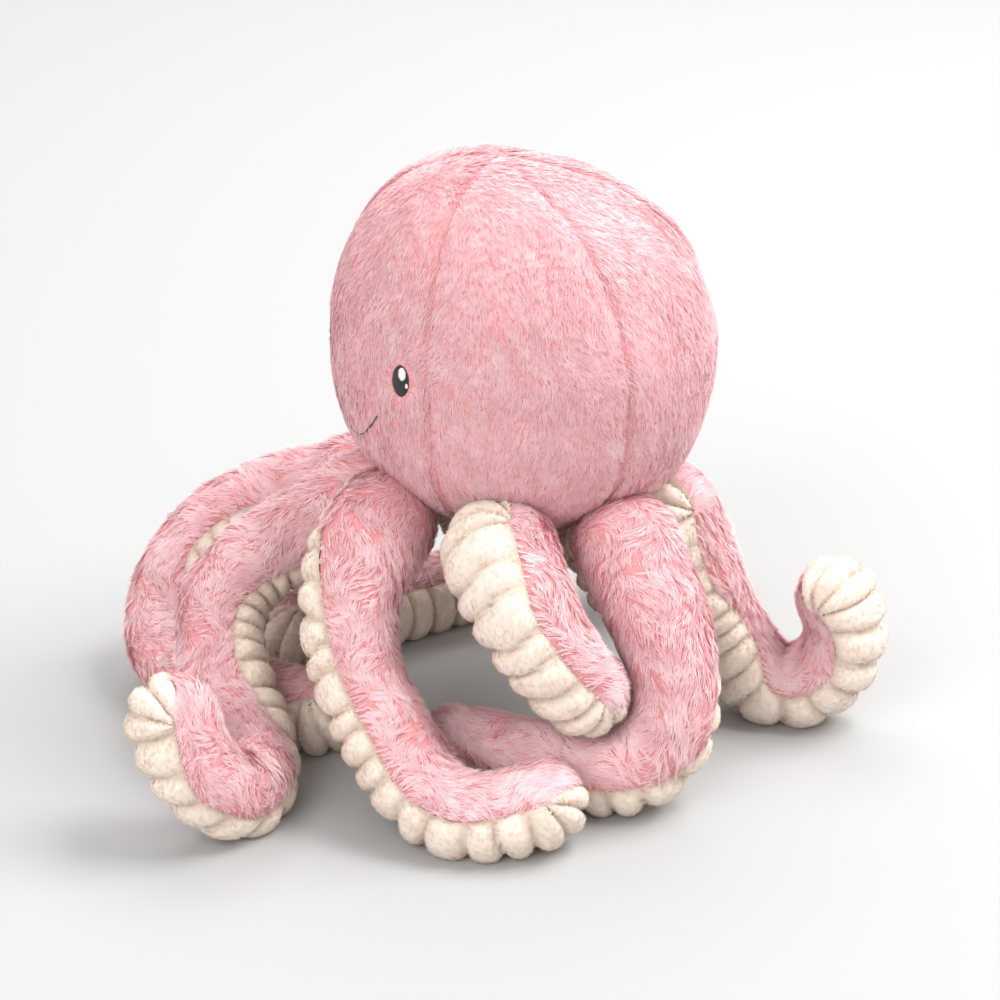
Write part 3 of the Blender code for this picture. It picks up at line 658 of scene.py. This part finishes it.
# %% Arm routes
ARM_ROUTE_SHARES = {
    "front": (0, 0.78, 0.935, (
        (0.53, 0.04, 0.93, (-0.5, 0.5, 0.8)),
        (0.63, 0.11, 0.60, (-0.8, 0.5, 0.3)),
        (0.63, 0.27, 0.25, (-0.8, 0.3, 0.5)),
        (0.61, 0.43, 0.01, (-0.5, -0.3, 0.8)),
        (0.53, 0.54, 0.00, (-0.4, -0.5, 0.8)),
        (0.42, 0.60, 0.05, (-0.3, -0.4, 0.8)),
    )),
    "front_left": (1, 0.78, 0.959, (
        (0.52, 0.04, 0.90, (-0.7, 0.7, 0.1)),
        (0.57, 0.11, 0.70, (-0.7, 0.7, 0.1)),
        (0.56, 0.17, 0.53, (-0.7, 0.7, 0.2)),
        (0.54, 0.21, 0.44, (-0.6, 0.7, 0.3)),
    )),
    "left": (2, 0.71, 0.955, (
        (0.51, -0.01, 0.78, (0.5, -0.2, 0.8)),
        (0.62, -0.01, 0.50, (0.5, -0.8, 0.3)),
        (0.65, -0.07, 0.18, (-0.1, -0.6, 0.8)),
        (0.58, -0.16, 0.00, (-0.4, 0.2, 0.9)),
        (0.41, -0.26, 0.00, (-0.3, 0.2, 0.9)),
        (0.23, -0.38, 0.00, (-0.2, 0.1, 1.0)),
    )),
    "back_left": (3, 0.65, 0.954, (
        (0.43, -0.01, 0.66, (0.4, 0.7, 0.7)),
        (0.50, 0.02, 0.39, (0.2, 0.9, 0.4)),
        (0.57, 0.01, 0.11, (0.0, 0.8, 0.6)),
        (0.67, -0.01, -0.03, (-0.2, 0.5, 0.8)),
        (0.78, -0.02, 0.10, (-0.8, 0.4, 0.5)),
        (0.83, -0.02, 0.34, (-0.9, 0.4, 0.0)),
        (0.80, -0.01, 0.54, (-0.7, 0.5, -0.5)),
    )),
    "back": (4, 0.65, 0.938, (
        (0.50, 0.10, 0.60, (0.6, 0.4, 0.6)),
        (0.59, 0.19, 0.34, (0.7, 0.4, 0.5)),
        (0.67, 0.26, 0.09, (0.5, 0.5, 0.7)),
        (0.77, 0.29, -0.02, (-0.1, 0.4, 0.9)),
        (0.85, 0.26, 0.03, (-0.5, 0.3, 0.8)),
    )),
    "back_right": (5, 0.65, 0.909, (
        (0.54, 0.01, 0.73, (0.6, 0.1, 0.8)),
        (0.62, 0.05, 0.39, (0.9, 0.1, 0.5)),
        (0.56, 0.13, 0.04, (0.9, 0.1, 0.5)),
        (0.43, 0.29, 0.00, (0.9, 0.1, 0.4)),
        (0.28, 0.45, 0.00, (0.9, 0.1, 0.3)),
        (0.15, 0.62, 0.00, (0.9, 0.1, 0.3)),
    )),
    "right": (6, 0.65, 0.946, (
        (0.52, 0.15, 0.85, (0.4, 0.1, 0.9)),
        (0.68, 0.36, 0.74, (0.8, 0.0, 0.6)),
        (0.75, 0.57, 0.44, (0.9, 0.3, 0.3)),
        (0.64, 0.70, 0.07, (0.5, 0.7, 0.5)),
        (0.45, 0.71, 0.00, (0.2, 0.2, 0.9)),
        (0.28, 0.64, 0.00, (0.4, -0.3, 0.8)),
        (0.13, 0.55, 0.00, (0.6, -0.5, 0.6)),
    )),
    "front_right": (7, 0.65, 0.957, (
        (0.56, 0.09, 0.85, (0.3, 0.2, 0.9)),
        (0.73, 0.22, 0.66, (0.8, 0.1, 0.6)),
        (0.72, 0.38, 0.38, (0.9, 0.1, 0.0)),
        (0.61, 0.52, 0.08, (0.8, -0.1, 0.3)),
        (0.57, 0.66, -0.03, (0.3, -0.2, 0.9)),
        (0.61, 0.78, 0.06, (-0.3, -0.3, 0.9)),
        (0.69, 0.82, 0.28, (-0.8, -0.4, 0.5)),
        (0.73, 0.80, 0.50, (-0.9, -0.4, 0.1)),
    )),
}


def smooth_curve(rows, steps=24, reach=12):
    """Run a smooth curve through rows of numbers and ease it with a moving mean, twice."""
    rows = np.array(rows, float)
    ends = np.vstack([2 * rows[0] - rows[1], rows, 2 * rows[-1] - rows[-2]])
    curve = []
    for a, b, c, d in zip(ends, ends[1:], ends[2:], ends[3:]):
        for t in np.arange(steps) / steps:
            curve.append(0.5 * (2 * b + (c - a) * t + (2 * a - 5 * b + 4 * c - d) * t ** 2
                                + (3 * b - a - 3 * c + d) * t ** 3))
    curve = np.vstack([*curve, rows[-1]])
    for _ in range(2):
        nears = [min(reach, i, len(curve) - 1 - i) for i in range(len(curve))]
        curve = np.stack([curve[i - near:i + near + 1].mean(0) for i, near in enumerate(nears)])
    return curve


print("arms:", list(ARM_ROUTE_SHARES))

# %% Arm middle lines
ARM_RADIUS = 0.0155
ARM_TIP_RADIUS = 0.0145
ARM_REACH = 0.160
ARM_RING_TURN = math.radians(10)
FLOOR_PRESS = 0.5 * MM


def arm_middle(name):
    """Give an arm's middle line: length along it, centre, forward, up and radius."""
    place, seat, press, route = ARM_ROUTE_SHARES[name]
    turn = place * math.pi / 4 + ARM_RING_TURN
    out = np.array([math.sin(turn), -math.cos(turn), 0.0])
    aside = np.array([math.cos(turn), math.sin(turn), 0.0])
    axial = (1 - seat ** BASE_ROUNDNESS) ** (1 / BASE_ROUNDNESS)
    slope = np.array([
        seat ** (BASE_ROUNDNESS - 1) / HEAD_RADIUS, -axial ** (BASE_ROUNDNESS - 1) / BASE_DROP])
    slope *= ARM_RADIUS * press / np.linalg.norm(slope)
    root_out = seat * HEAD_RADIUS + slope[0]
    root_up = HEAD_MIDDLE.z - BASE_DROP * axial + slope[1]
    rows = [[root_out / ARM_REACH, 0.0, 1.0, *route[0][3]]] + [[*p[:3], *p[3]] for p in route]
    curve = smooth_curve(rows)
    radius = np.linspace(ARM_RADIUS, ARM_TIP_RADIUS, len(curve))
    resting = radius - FLOOR_PRESS
    height = resting + (root_up - resting) * np.maximum(curve[:, 2], 0)
    centre = (curve[:, :1] * out + curve[:, 1:2] * aside) * ARM_REACH
    centre += np.array([HEAD_MIDDLE.x, HEAD_MIDDLE.y, 0.0])
    centre[:, 2] += height
    fur = curve[:, 3:4] * out + curve[:, 4:5] * aside + curve[:, 5:6] * np.array([0.0, 0.0, 1.0])
    forward = unit(np.gradient(centre, axis=0))
    steps = np.linalg.norm(np.diff(centre, axis=0), axis=1)
    along = np.concatenate([[0], np.cumsum(steps)])
    return {"along": along, "centre": centre, "forward": forward,
            "up": on_surface(fur, forward), "radius": radius}


ARMS = {name: arm_middle(name) for name in ARM_ROUTE_SHARES}
print("arm lengths in mm:", {name: round(arm["along"][-1] * 1000) for name, arm in ARMS.items()})

# %% [markdown]
# ## An arm's surface
#
# An arm is a stuffed tube with rounded ends, a little swollen where it is sewn to the head. One
# function gives a point on it: how far along, how far across its panel, and how proud. The fur
# panel covers the top and the ribbed one the rest. Past either end the panel swings round the
# arm's sideways line, which closes the end like the tip of a finger; at the tip the ribbed cloth
# goes further round and shows from above.

# %% Arm surface
RIBBED_HALF_TURN = math.radians(70)
ROOT_TURN = math.radians(90)
RIBBED_TIP_TURN = math.radians(110)
WIDENING = 0.026
ROOT_SWELL = 4.5 * MM
ROOT_SWELL_REACH = 0.036


def arm_points(arm, ribbed, across, along, proud):
    """Give points on an arm's panel and the outward directions there."""
    total = arm["along"][-1]
    on_line = np.clip(along, 0, total)
    centre, forward, up = (
        np.stack([np.interp(on_line, arm["along"], arm[key][:, k]) for k in range(3)], 1)
        for key in ("centre", "forward", "up")
    )
    radius = np.interp(on_line, arm["along"], arm["radius"])
    forward = unit(forward)
    up = on_surface(up, forward)
    side = np.cross(forward, up)
    widen = 1 - np.clip(np.minimum(on_line, total - on_line) / WIDENING, 0, 1)
    half = RIBBED_HALF_TURN + (math.pi / 2 - RIBBED_HALF_TURN) * widen
    middle = -up if ribbed else up
    half = half if ribbed else math.pi - half
    swing = np.where(along < 0, along, np.maximum(along - total, 0)) / radius
    middle = middle * np.cos(swing)[:, None] + forward * np.sin(swing)[:, None]
    angle = half * across
    outward = middle * np.cos(angle)[:, None] + side * np.sin(angle)[:, None]
    radius = radius + ROOT_SWELL * np.exp(-(on_line / ROOT_SWELL_REACH) ** 2)
    return centre + outward * (radius + proud)[:, None], outward


def panel_ends(arm, ribbed):
    """Give where an arm's panel starts and ends, measured along the arm."""
    tip_turn = RIBBED_TIP_TURN if ribbed else math.pi - RIBBED_TIP_TURN
    return -ROOT_TURN * arm["radius"][0], arm["along"][-1] + tip_turn * arm["radius"][-1]


fur_ends = panel_ends(ARMS["front"], False)
print("the front arm's fur panel runs", [round(v * 1000) for v in fur_ends], "mm")

# %% [markdown]
# ## Fur on the arms
#
# The arms' pile is longer than the head's and a little looser. Its tufts point along the arm, turn
# off in slow swirls, and lean outwards over the seams at the panel's edges. The backing lies about
# a millimetre proud of the CAD surface and draws in at its edges, where it is sewn. Where an arm
# rests on the floor, cloth and fibres are pressed flat.

# %% Arm fur
ARM_TUFTS_PER_AREA = 0.31 / MM ** 2
ARM_TUFT_FIBRES = 9
ARM_TUFT_REACH = 1.9 * MM
ARM_TIP_PULL = 0.4
ARM_PILE_LENGTH = 4.8 * MM
ARM_FIBRE_WIDTHS_IN_MM = (0.34, 0.48)
ARM_PILE_RISE = math.radians(21)
ARM_TIP_RISE = 0.12
# The arms' pile takes paler colours on the ramps than the head's: painted light.
ARM_SHADE_WITH_PAINTED_LIGHT = 0.74
ARM_ROOT_PAINTED_SHADE = -0.18
FUR_PROUD = 1.4 * MM
FUR_DRAWN_IN = 1.5 * MM
FUR_COLUMNS = 18
FUR_ROW = 2.2 * MM


def fur_cloth(arm, across, along):
    """Give points on the fur panel's backing: a little lumpy, and drawn in at its edges."""
    base, _ = arm_points(arm, False, across, along, np.zeros(len(across)))
    proud = FUR_PROUD + 0.4 * MM * ripple(base, 0.03, 21) - FUR_DRAWN_IN * np.abs(across) ** 10
    return arm_points(arm, False, across, along, proud)


def fur_backing(name):
    """Make the backing of an arm's fur panel, a little wider than the panel."""
    arm = ARMS[name]
    start, end = panel_ends(arm, False)
    rows = round((end - start) / FUR_ROW)
    across, along = grid_places(
        np.linspace(-1.04, 1.04, FUR_COLUMNS + 1), np.linspace(start, end, rows + 1))
    points, _ = fur_cloth(arm, across, along)
    points[:, 2] = np.maximum(points[:, 2], 0.3 * MM)
    uv = np.stack([across / 2.1 + 0.5, (along - start) / (end - start)], 1)
    faces = grid_faces(FUR_COLUMNS, rows)
    return mesh_piece(f"{name}_arm_fur_cloth", points, faces, pink_cloth, uv)


def arm_pile(number, name):
    """Grow the pile of an arm's fur panel; give the piece and the number of its fibres."""
    arm = ARMS[name]
    start, end = panel_ends(arm, False)
    dice = np.random.default_rng(300 + number)
    area = (end - start) * 2 * (math.pi - RIBBED_HALF_TURN) * ARM_RADIUS
    tufts = round(area * ARM_TUFTS_PER_AREA)
    across, along = dice.uniform(-1.03, 1.03, tufts), dice.uniform(start, end, tufts)
    tuft, outward = fur_cloth(arm, across, along)
    ahead, _ = fur_cloth(arm, across, along + MM)
    lay = on_surface(unit(ahead - tuft), outward)
    side = np.cross(outward, lay)
    swirl = 0.55 * ripple(tuft, 0.026, 31) + dice.normal(0, 0.22, tufts)
    to_edge = (np.sign(across) * np.abs(across) ** 8 * 0.7)[:, None]
    lay = unit(lay * np.cos(swirl)[:, None] + side * (np.sin(swirl)[:, None] + to_edge))

    rise = ARM_PILE_RISE + 0.10 * ripple(tuft, 0.016, 32) + dice.normal(0, 0.06, tufts)
    # The arms' pile sits paler on the ramps than the head's: painted light.
    shade = ARM_SHADE_WITH_PAINTED_LIGHT + 0.14 * ripple(tuft, 0.010, 33) + dice.normal(0, 0.08, tufts)
    # Pile near the arm's root, under the head, is painted darker: painted shade.
    shade += ARM_ROOT_PAINTED_SHADE * np.exp(-(along / (9 * MM)).clip(0) ** 2)
    length = ARM_PILE_LENGTH * (1 + dice.normal(0, 0.12, tufts))
    length = length * (1 - 0.25 * np.abs(across) ** 6)

    picks = np.repeat(np.arange(tufts), ARM_TUFT_FIBRES)
    count = len(picks)
    offset = in_tufts(dice, picks, side, lay, ARM_TUFT_REACH)
    pile = grow_pile(
        f"{name}_arm_pile", tuft[picks], offset, outward[picks], lay[picks],
        length[picks] * (1 + dice.normal(0, 0.14, count)),
        dice.uniform(*ARM_FIBRE_WIDTHS_IN_MM, count) * MM,
        (rise[picks] + dice.normal(0, 0.05, count), dice.normal(ARM_TIP_RISE, 0.06, count)),
        ARM_TIP_PULL, shade[picks] + dice.normal(0, 0.07, count), 400 + number, pink_pile,
    )
    return pile, count


arm_fibres = 0
for number, name in enumerate(ARMS):
    cloth = fur_backing(name)
    pile, count = arm_pile(number, name)
    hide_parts(f"{name}_arm_fur_panel")
    for piece in (cloth, pile):
        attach(piece, f"{name}_arm")
    arm_fibres += count
print("fibres on the arms:", arm_fibres)

# %% [markdown]
# ## Chunky ribs below
#
# The underside is a cloth with fat padded ribs across the arm. Each rib is a soft roll with a
# narrow valley on both sides, and its ends round off at the seam, which gives the arms their
# scalloped edge. A formula makes the roll: high and broad in its middle, falling steeply to the
# valley. The cloth has the colours of the short fuzz that grows on it, and both are painted darker
# in the valleys as shade. A bump texture could fake the ribs, but not their outline.

# %% Ribbed cloth
RIB_PITCH = 10.5 * MM
RIB_HEIGHT = 4.0 * MM
RIB_FOOT = 0.5 * MM
RIB_FULLNESS = 2.8
RIB_COLUMNS = 24
RIB_ROW = 1.15 * MM


def rib_proud(arm, across, along):
    """Give how proud the ribbed cloth is: rolls across the arm that end at the seams."""
    base, _ = arm_points(arm, True, across, along, np.zeros(len(across)))
    wander = along + 0.9 * MM * ripple(base, 0.03, 41)
    share = (wander / RIB_PITCH) % 1.0
    roll = 1 - np.abs(2 * share - 1) ** RIB_FULLNESS
    edge = 1 - np.minimum(np.abs(across), 1) ** 5
    return RIB_HEIGHT * roll * edge - RIB_FOOT


def rib_surface(arm, across, along):
    """Give points on the ribbed cloth."""
    return arm_points(arm, True, across, along, rib_proud(arm, across, along))[0]


def ribbed_cloth(name):
    """Make an arm's ribbed underside; its map picks its colours, painted darker in the valleys as
    shade.
    """
    arm = ARMS[name]
    start, end = panel_ends(arm, True)
    rows = round((end - start) / RIB_ROW)
    across, along = grid_places(
        np.linspace(-1, 1, RIB_COLUMNS + 1), np.linspace(start, end, rows + 1))
    points = rib_surface(arm, across, along)
    points[:, 2] = np.maximum(points[:, 2], 0.0)
    # Lower on the roll the map picks darker colours: painted shade in the valleys.
    height = np.clip(1.4 * (rib_proud(arm, across, along) + RIB_FOOT) / RIB_HEIGHT, 0, 1)
    uv = np.stack([0.10 + 0.5 * height, 0.62 + 0.1 * across], 1)
    return mesh_piece(f"{name}_arm_ribs", points, grid_faces(RIB_COLUMNS, rows), cream_pile, uv)


print("ribs on the front arm:", round(ARMS["front"]["along"][-1] / RIB_PITCH))

# %% Fuzz on the ribs
FUZZ_PER_AREA = 1.1 / MM ** 2
FUZZ_FIBRES = 3
FUZZ_REACH = 0.7 * MM
FUZZ_TIP_PULL = 0.4
FUZZ_LENGTH = 1.6 * MM
FUZZ_WIDTHS_IN_MM = (0.32, 0.50)
FUZZ_RISE = 0.38
FUZZ_TIP_RISE = 0.15


def rib_fuzz(number, name):
    """Grow the fuzz of an arm's underside; give the piece and the number of its fibres."""
    arm = ARMS[name]
    start, end = panel_ends(arm, True)
    dice = np.random.default_rng(500 + number)
    tufts = round((end - start) * 2 * RIBBED_HALF_TURN * ARM_RADIUS * FUZZ_PER_AREA)
    across, along = dice.uniform(-1, 1, tufts), dice.uniform(start, end, tufts)
    tuft = rib_surface(arm, across, along)
    _, outward = arm_points(arm, True, across, along, np.zeros(tufts))
    turn, step = 0.01, 0.3 * MM
    sideways = rib_surface(arm, across + turn, along) - rib_surface(arm, across - turn, along)
    lengthways = rib_surface(arm, across, along + step) - rib_surface(arm, across, along - step)
    normal = unit(np.cross(sideways, lengthways))
    normal *= np.sign(np.sum(normal * outward, 1))[:, None]
    normal = unit(normal + 0.25 * outward)
    lay = sideways * dice.normal(0, 1, (tufts, 1)) + lengthways * 3 * dice.normal(0, 1, (tufts, 1))
    lay = on_surface(unit(lay), normal)
    # Fuzz lower on the roll takes darker colours: painted shade in the valleys.
    top = np.clip(1.6 * (rib_proud(arm, across, along) + RIB_FOOT) / RIB_HEIGHT, 0, 1)
    shade = 0.10 + 0.52 * top + 0.06 * ripple(tuft, 0.009, 43) + dice.normal(0, 0.07, tufts)

    picks = np.repeat(np.arange(tufts), FUZZ_FIBRES)
    count = len(picks)
    offset = in_tufts(dice, picks, np.cross(normal, lay), lay, FUZZ_REACH)
    fuzz = grow_pile(
        f"{name}_arm_fuzz", tuft[picks], offset, normal[picks], lay[picks],
        FUZZ_LENGTH * (0.55 + 0.45 * top[picks]) * (1 + dice.normal(0, 0.15, count)),
        dice.uniform(*FUZZ_WIDTHS_IN_MM, count) * MM,
        (dice.normal(FUZZ_RISE, 0.08, count), dice.normal(FUZZ_TIP_RISE, 0.08, count)),
        FUZZ_TIP_PULL, shade[picks] + dice.normal(0, 0.08, count), 600 + number, cream_pile,
    )
    return fuzz, count


rib_fibres = 0
for number, name in enumerate(ARMS):
    cloth = ribbed_cloth(name)
    fuzz, count = rib_fuzz(number, name)
    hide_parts(f"{name}_arm_underside")
    for piece in (cloth, fuzz):
        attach(piece, f"{name}_arm")
    rib_fibres += count
print("fuzz on the ribs:", rib_fibres)

# %% [markdown]
# ## The base panel
#
# Under the head, inside the ring of arms, a round panel of the ribbed cloth closes the ball. It
# sags between the roots of the arms and shows only in shadow, yet its ribs are real rolls too,
# straight across the panel. Its fuzz takes the darkest colours and its cloth is tan, both painted
# shade of the hollow under the head.

# %% Base panel
BASE_PANEL_SAG = 0.026
BASE_PANEL_FOOT = 1.5 * MM
BASE_COLUMNS = 96
BASE_RINGS = 39
BASE_FUZZ = 9000


def base_cloth(radius, turn):
    """Give points on the base panel, with its rolls, for arrays of radius and turn."""
    latitude = -np.arccos(np.clip(radius / HEAD_RADIUS, 0, 1) ** (BASE_ROUNDNESS / 2))
    points = head_points(turn, latitude, 0.0)
    points[:, 0] = HEAD_MIDDLE.x + radius * np.sin(turn)
    points[:, 1] = HEAD_MIDDLE.y - radius * np.cos(turn)
    roll = 1 - np.abs(2 * ((points[:, 0] / RIB_PITCH) % 1.0) - 1) ** 3
    share = (radius / BASE_PANEL_RADIUS) ** 2
    points[:, 2] -= (BASE_PANEL_SAG * (1 - share ** 1.6)
                     + (RIB_HEIGHT * roll - BASE_PANEL_FOOT) * (1 - share ** 4))
    return points


def base_fuzz():
    """Grow fuzz that hangs from the base panel and points every way."""
    dice = np.random.default_rng(700)
    radius = BASE_PANEL_RADIUS * np.sqrt(dice.uniform(0, 1, BASE_FUZZ))
    tuft = base_cloth(radius, dice.uniform(0, 2 * math.pi, BASE_FUZZ))
    downward = np.tile([0.0, 0.0, -1.0], (BASE_FUZZ, 1))
    lay = unit(dice.normal(size=(BASE_FUZZ, 3)) * np.array([1, 1, 0]))
    length, width, low, high = (
        np.full(BASE_FUZZ, value) for value in (FUZZ_LENGTH, 0.45 * MM, 0.4, 0.2))
    # The fuzz takes the darkest shades of the ramp: painted shade under the head.
    return grow_pile(
        "base_panel_fuzz", tuft, np.zeros((BASE_FUZZ, 3)), downward, lay, length, width,
        (low, high), 0.0, dice.normal(0.14, 0.06, BASE_FUZZ), 701, cream_pile,
    )


turns, rings = grid_places(
    np.linspace(0, 2 * math.pi, BASE_COLUMNS + 1), np.linspace(0.02, 1, BASE_RINGS + 1))
base = mesh_piece("base_panel_cloth", base_cloth(rings * BASE_PANEL_RADIUS, turns),
                  grid_faces(BASE_COLUMNS, BASE_RINGS), cream_cloth_in_painted_shade,
                  np.stack([turns / (2 * math.pi), rings], 1))
fuzz = base_fuzz()
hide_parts("base_panel")
for piece in (base, fuzz):
    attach(piece, "head")
print("base panel fuzz:", BASE_FUZZ)

# %% [markdown]
# ## Embroidery thread
#
# The eyes are satin stitch: threads laid side by side across an oval, so close that they make one
# glossy pad. The smile is one line of short stitches. All of it is made of real threads here,
# tubes of six sides that follow the head's surface, because thread is what gives embroidery its
# fine stripes of light.

# %% Thread
def thread_material(name, colour, roughness):
    """Make sewing thread: one colour with a fine twist in its bump and a silky sheen."""
    material = bpy.data.materials.new(name)
    material.use_nodes = True
    nodes, links = material.node_tree.nodes, material.node_tree.links
    shader = nodes["Principled BSDF"]
    shader.inputs["Base Color"].default_value = (*colour, 1.0)
    shader.inputs["Roughness"].default_value = roughness
    shader.inputs["Sheen Weight"].default_value = 0.2
    place = nodes.new("ShaderNodeTexCoord")
    twist = nodes.new("ShaderNodeTexNoise")
    twist.inputs["Scale"].default_value = 2500.0
    links.new(place.outputs["Object"], twist.inputs["Vector"])
    dent = nodes.new("ShaderNodeBump")
    dent.inputs["Strength"].default_value = 0.4
    dent.inputs["Distance"].default_value = 0.2 * MM
    links.new(twist.outputs["Fac"], dent.inputs["Height"])
    links.new(dent.outputs["Normal"], shader.inputs["Normal"])
    return material


black_thread = thread_material("black_thread", (0.012, 0.011, 0.012), 0.35)
white_thread = thread_material("white_thread", (0.88, 0.88, 0.87), 0.4)
brown_thread = thread_material("brown_thread", (0.075, 0.022, 0.02), 0.5)
THREAD_SIDES = 6


def stitches(name, threads, radius, material, node):
    """Make one mesh of threads; each is an array of points, and a ring of corners follows it."""
    points, faces, first = [], [], 0
    corner = np.arange(THREAD_SIDES + 1)[None, :, None] * 2 * math.pi / THREAD_SIDES
    for line in threads:
        forward = unit(np.gradient(line, axis=0))
        side = unit(np.cross(forward, unit(line - np.array(HEAD_MIDDLE))))
        from_end = np.minimum(np.arange(len(line)), np.arange(len(line))[::-1])
        taper = np.clip(from_end / 1.5, 0.25, 1) ** 0.5
        ring = side[:, None] * np.cos(corner) + np.cross(side, forward)[:, None] * np.sin(corner)
        ring = line[:, None] + ring * (radius * taper)[:, None, None]
        points.append(ring.reshape(-1, 3))
        faces.append(grid_faces(THREAD_SIDES, len(line) - 1) + first)
        first += len(line) * (THREAD_SIDES + 1)
    piece = mesh_piece(name, np.vstack(points), np.vstack(faces), material)
    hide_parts(node)
    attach(piece, "head")


print("threads:", black_thread.name, white_thread.name, brown_thread.name)

# %% [markdown]
# ## The embroidered face
#
# Each eye is a black oval with two white glints, the larger one above. The threads run across the
# ovals, slightly uphill, and the pad is domed by the padding below it.

# %% Eyes and smile
EYE_THREADS = 30
EYE_THREAD_RADIUS = 0.30 * MM
EYE_DOME = 0.3 * MM
GLINT_THREAD_RADIUS = 0.24 * MM
GLINT_DOME = 0.2 * MM
GLINT_WIDTH, GLINT_HEIGHT = 0.0039, 0.0050
SMALL_GLINT_WIDTH, SMALL_GLINT_HEIGHT = 0.0013, 0.0018
SMALL_GLINT_ASIDE, SMALL_GLINT_BELOW = 0.0022, 0.0012
SMILE_STITCHES = 13
SMILE_THREAD_RADIUS = 0.45 * MM
SMILE_PROUD = 0.3 * MM


def satin_oval(turn, level, width, height, proud, dome, threads):
    """Lay threads side by side over an oval; they run across it, slightly uphill."""
    lines = []
    around = float(around_head(np.array(level)))
    for row in (np.arange(threads) + 0.5) / threads * 2 - 1:
        reach = math.sqrt(1 - row * row)
        x = np.linspace(-reach, reach, 9)
        y = row + 0.10 * x
        lift = proud + dome * (1 - 0.8 * (x * x + row * row))
        lines.append(face_points(turn + x * width / 2 / around, level + y * height / 2, lift))
    return lines


for side_name, turn in (("left", EYE_TURN), ("right", -EYE_TURN)):
    around = float(around_head(np.array(EYE_LEVEL)))
    black = satin_oval(
        turn, EYE_LEVEL, EYE_WIDTH, EYE_HEIGHT, -0.1 * MM, EYE_DOME, EYE_THREADS)
    stitches(f"{side_name}_eye_stitches", black, EYE_THREAD_RADIUS, black_thread,
             f"{side_name}_eye")
    glint_turn = turn + 0.12 * EYE_WIDTH / around
    white = satin_oval(glint_turn, EYE_LEVEL + 0.24 * EYE_HEIGHT,
                       GLINT_WIDTH, GLINT_HEIGHT, 0.25 * MM, GLINT_DOME, 11)
    white += satin_oval(glint_turn + SMALL_GLINT_ASIDE / around, EYE_LEVEL - SMALL_GLINT_BELOW,
                        SMALL_GLINT_WIDTH, SMALL_GLINT_HEIGHT, 0.3 * MM, GLINT_DOME, 5)
    stitches(f"{side_name}_eye_glint_stitches", white, GLINT_THREAD_RADIUS, white_thread,
             f"{side_name}_eye_glint")

across = np.linspace(-1, 1, SMILE_STITCHES * 8 + 1)
smile_line = face_points(
    across * SMILE_HALF_WIDTH / float(around_head(np.array(SMILE_LEVEL))),
    smile_height(across), np.full(len(across), SMILE_PROUD),
)
smile_threads = [smile_line[k * 8:k * 8 + 9] for k in range(SMILE_STITCHES)]
stitches("smile_stitches", smile_threads, SMILE_THREAD_RADIUS, brown_thread,
         "smile")
print("threads: eyes", EYE_THREADS, "each, smile", SMILE_STITCHES)

# %% [markdown]
# ## Stuffing
#
# Inside the cloth is loose polyester fibre. It never shows while the seams are closed, but the
# model stays honest when someone opens it: a lumpy ball in the head and a lumpy roll in each arm.

# %% Stuffing
HEAD_STUFFING_DEPTH = 5.5 * MM
ARM_STUFFING_DEPTH = 6 * MM


def build_stuffing(name, node, body, points, columns, rows):
    """Make a closed roll of stuffing from a grid that wraps round."""
    piece = mesh_piece(name, points, grid_faces(columns, rows), stuffing_fibre)
    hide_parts(node)
    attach(piece, body)


def head_stuffing():
    """Give points on the head's stuffing, a ball of 64 by 40 faces."""
    turns, levels = grid_places(
        np.linspace(0, 2 * math.pi, 65), np.linspace(-math.pi / 2, math.radians(89.9), 41))
    ball = head_points(turns, levels, np.full(len(turns), -HEAD_STUFFING_DEPTH))
    lumps = 1.2 * MM * ripple(ball, 0.02, 51)
    return head_points(turns, levels, -HEAD_STUFFING_DEPTH + lumps)


def arm_stuffing(arm):
    """Give points on an arm's stuffing, a roll of 24 by 60 faces round its middle line."""
    turns, ways = grid_places(np.linspace(-1, 1, 25), np.linspace(0, 1, 61))
    along = ways * arm["along"][-1]
    inwards = np.full(len(ways), -arm["radius"][0])
    level = np.zeros(len(ways))
    centre, up = arm_points(arm, False, level, along, inwards)
    ahead, _ = arm_points(arm, False, level, along + MM, inwards)
    astern, _ = arm_points(arm, False, level, along - MM, inwards)
    side = unit(np.cross(ahead - astern, up))
    angle = turns * math.pi
    direction = up * np.cos(angle)[:, None] + side * np.sin(angle)[:, None]
    rounded = np.sqrt(np.clip(1 - (2 * ways - 1) ** 24, 0, 1))
    lumps = 0.8 * MM * ripple(centre + direction * 0.01, 0.018, 52)
    girth = (ARM_RADIUS - ARM_STUFFING_DEPTH + lumps) * rounded
    return centre + direction * girth[:, None]


build_stuffing("head_stuffing", "head_filling", "head", head_stuffing(), 64, 40)
for name, arm in ARMS.items():
    build_stuffing(f"{name}_arm_stuffing", f"{name}_arm_filling", f"{name}_arm",
                   arm_stuffing(arm), 24, 60)
print("stuffing pieces:", 1 + len(ARMS))

# %% [markdown]
# ## Measuring the result
#
# The dressed toy may stand a little proud of the CAD model, as pile does, and no more. The last
# cell prints by how many millimetres each side of the dressed box lies past the CAD box.

# %% Measure the dressed toy
low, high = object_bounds()
growth = [round((v - c) * 1000, 1) for v, c in zip((*low, *high), (*cad_low, *cad_high))]
print("visual box grows by mm:", growth)
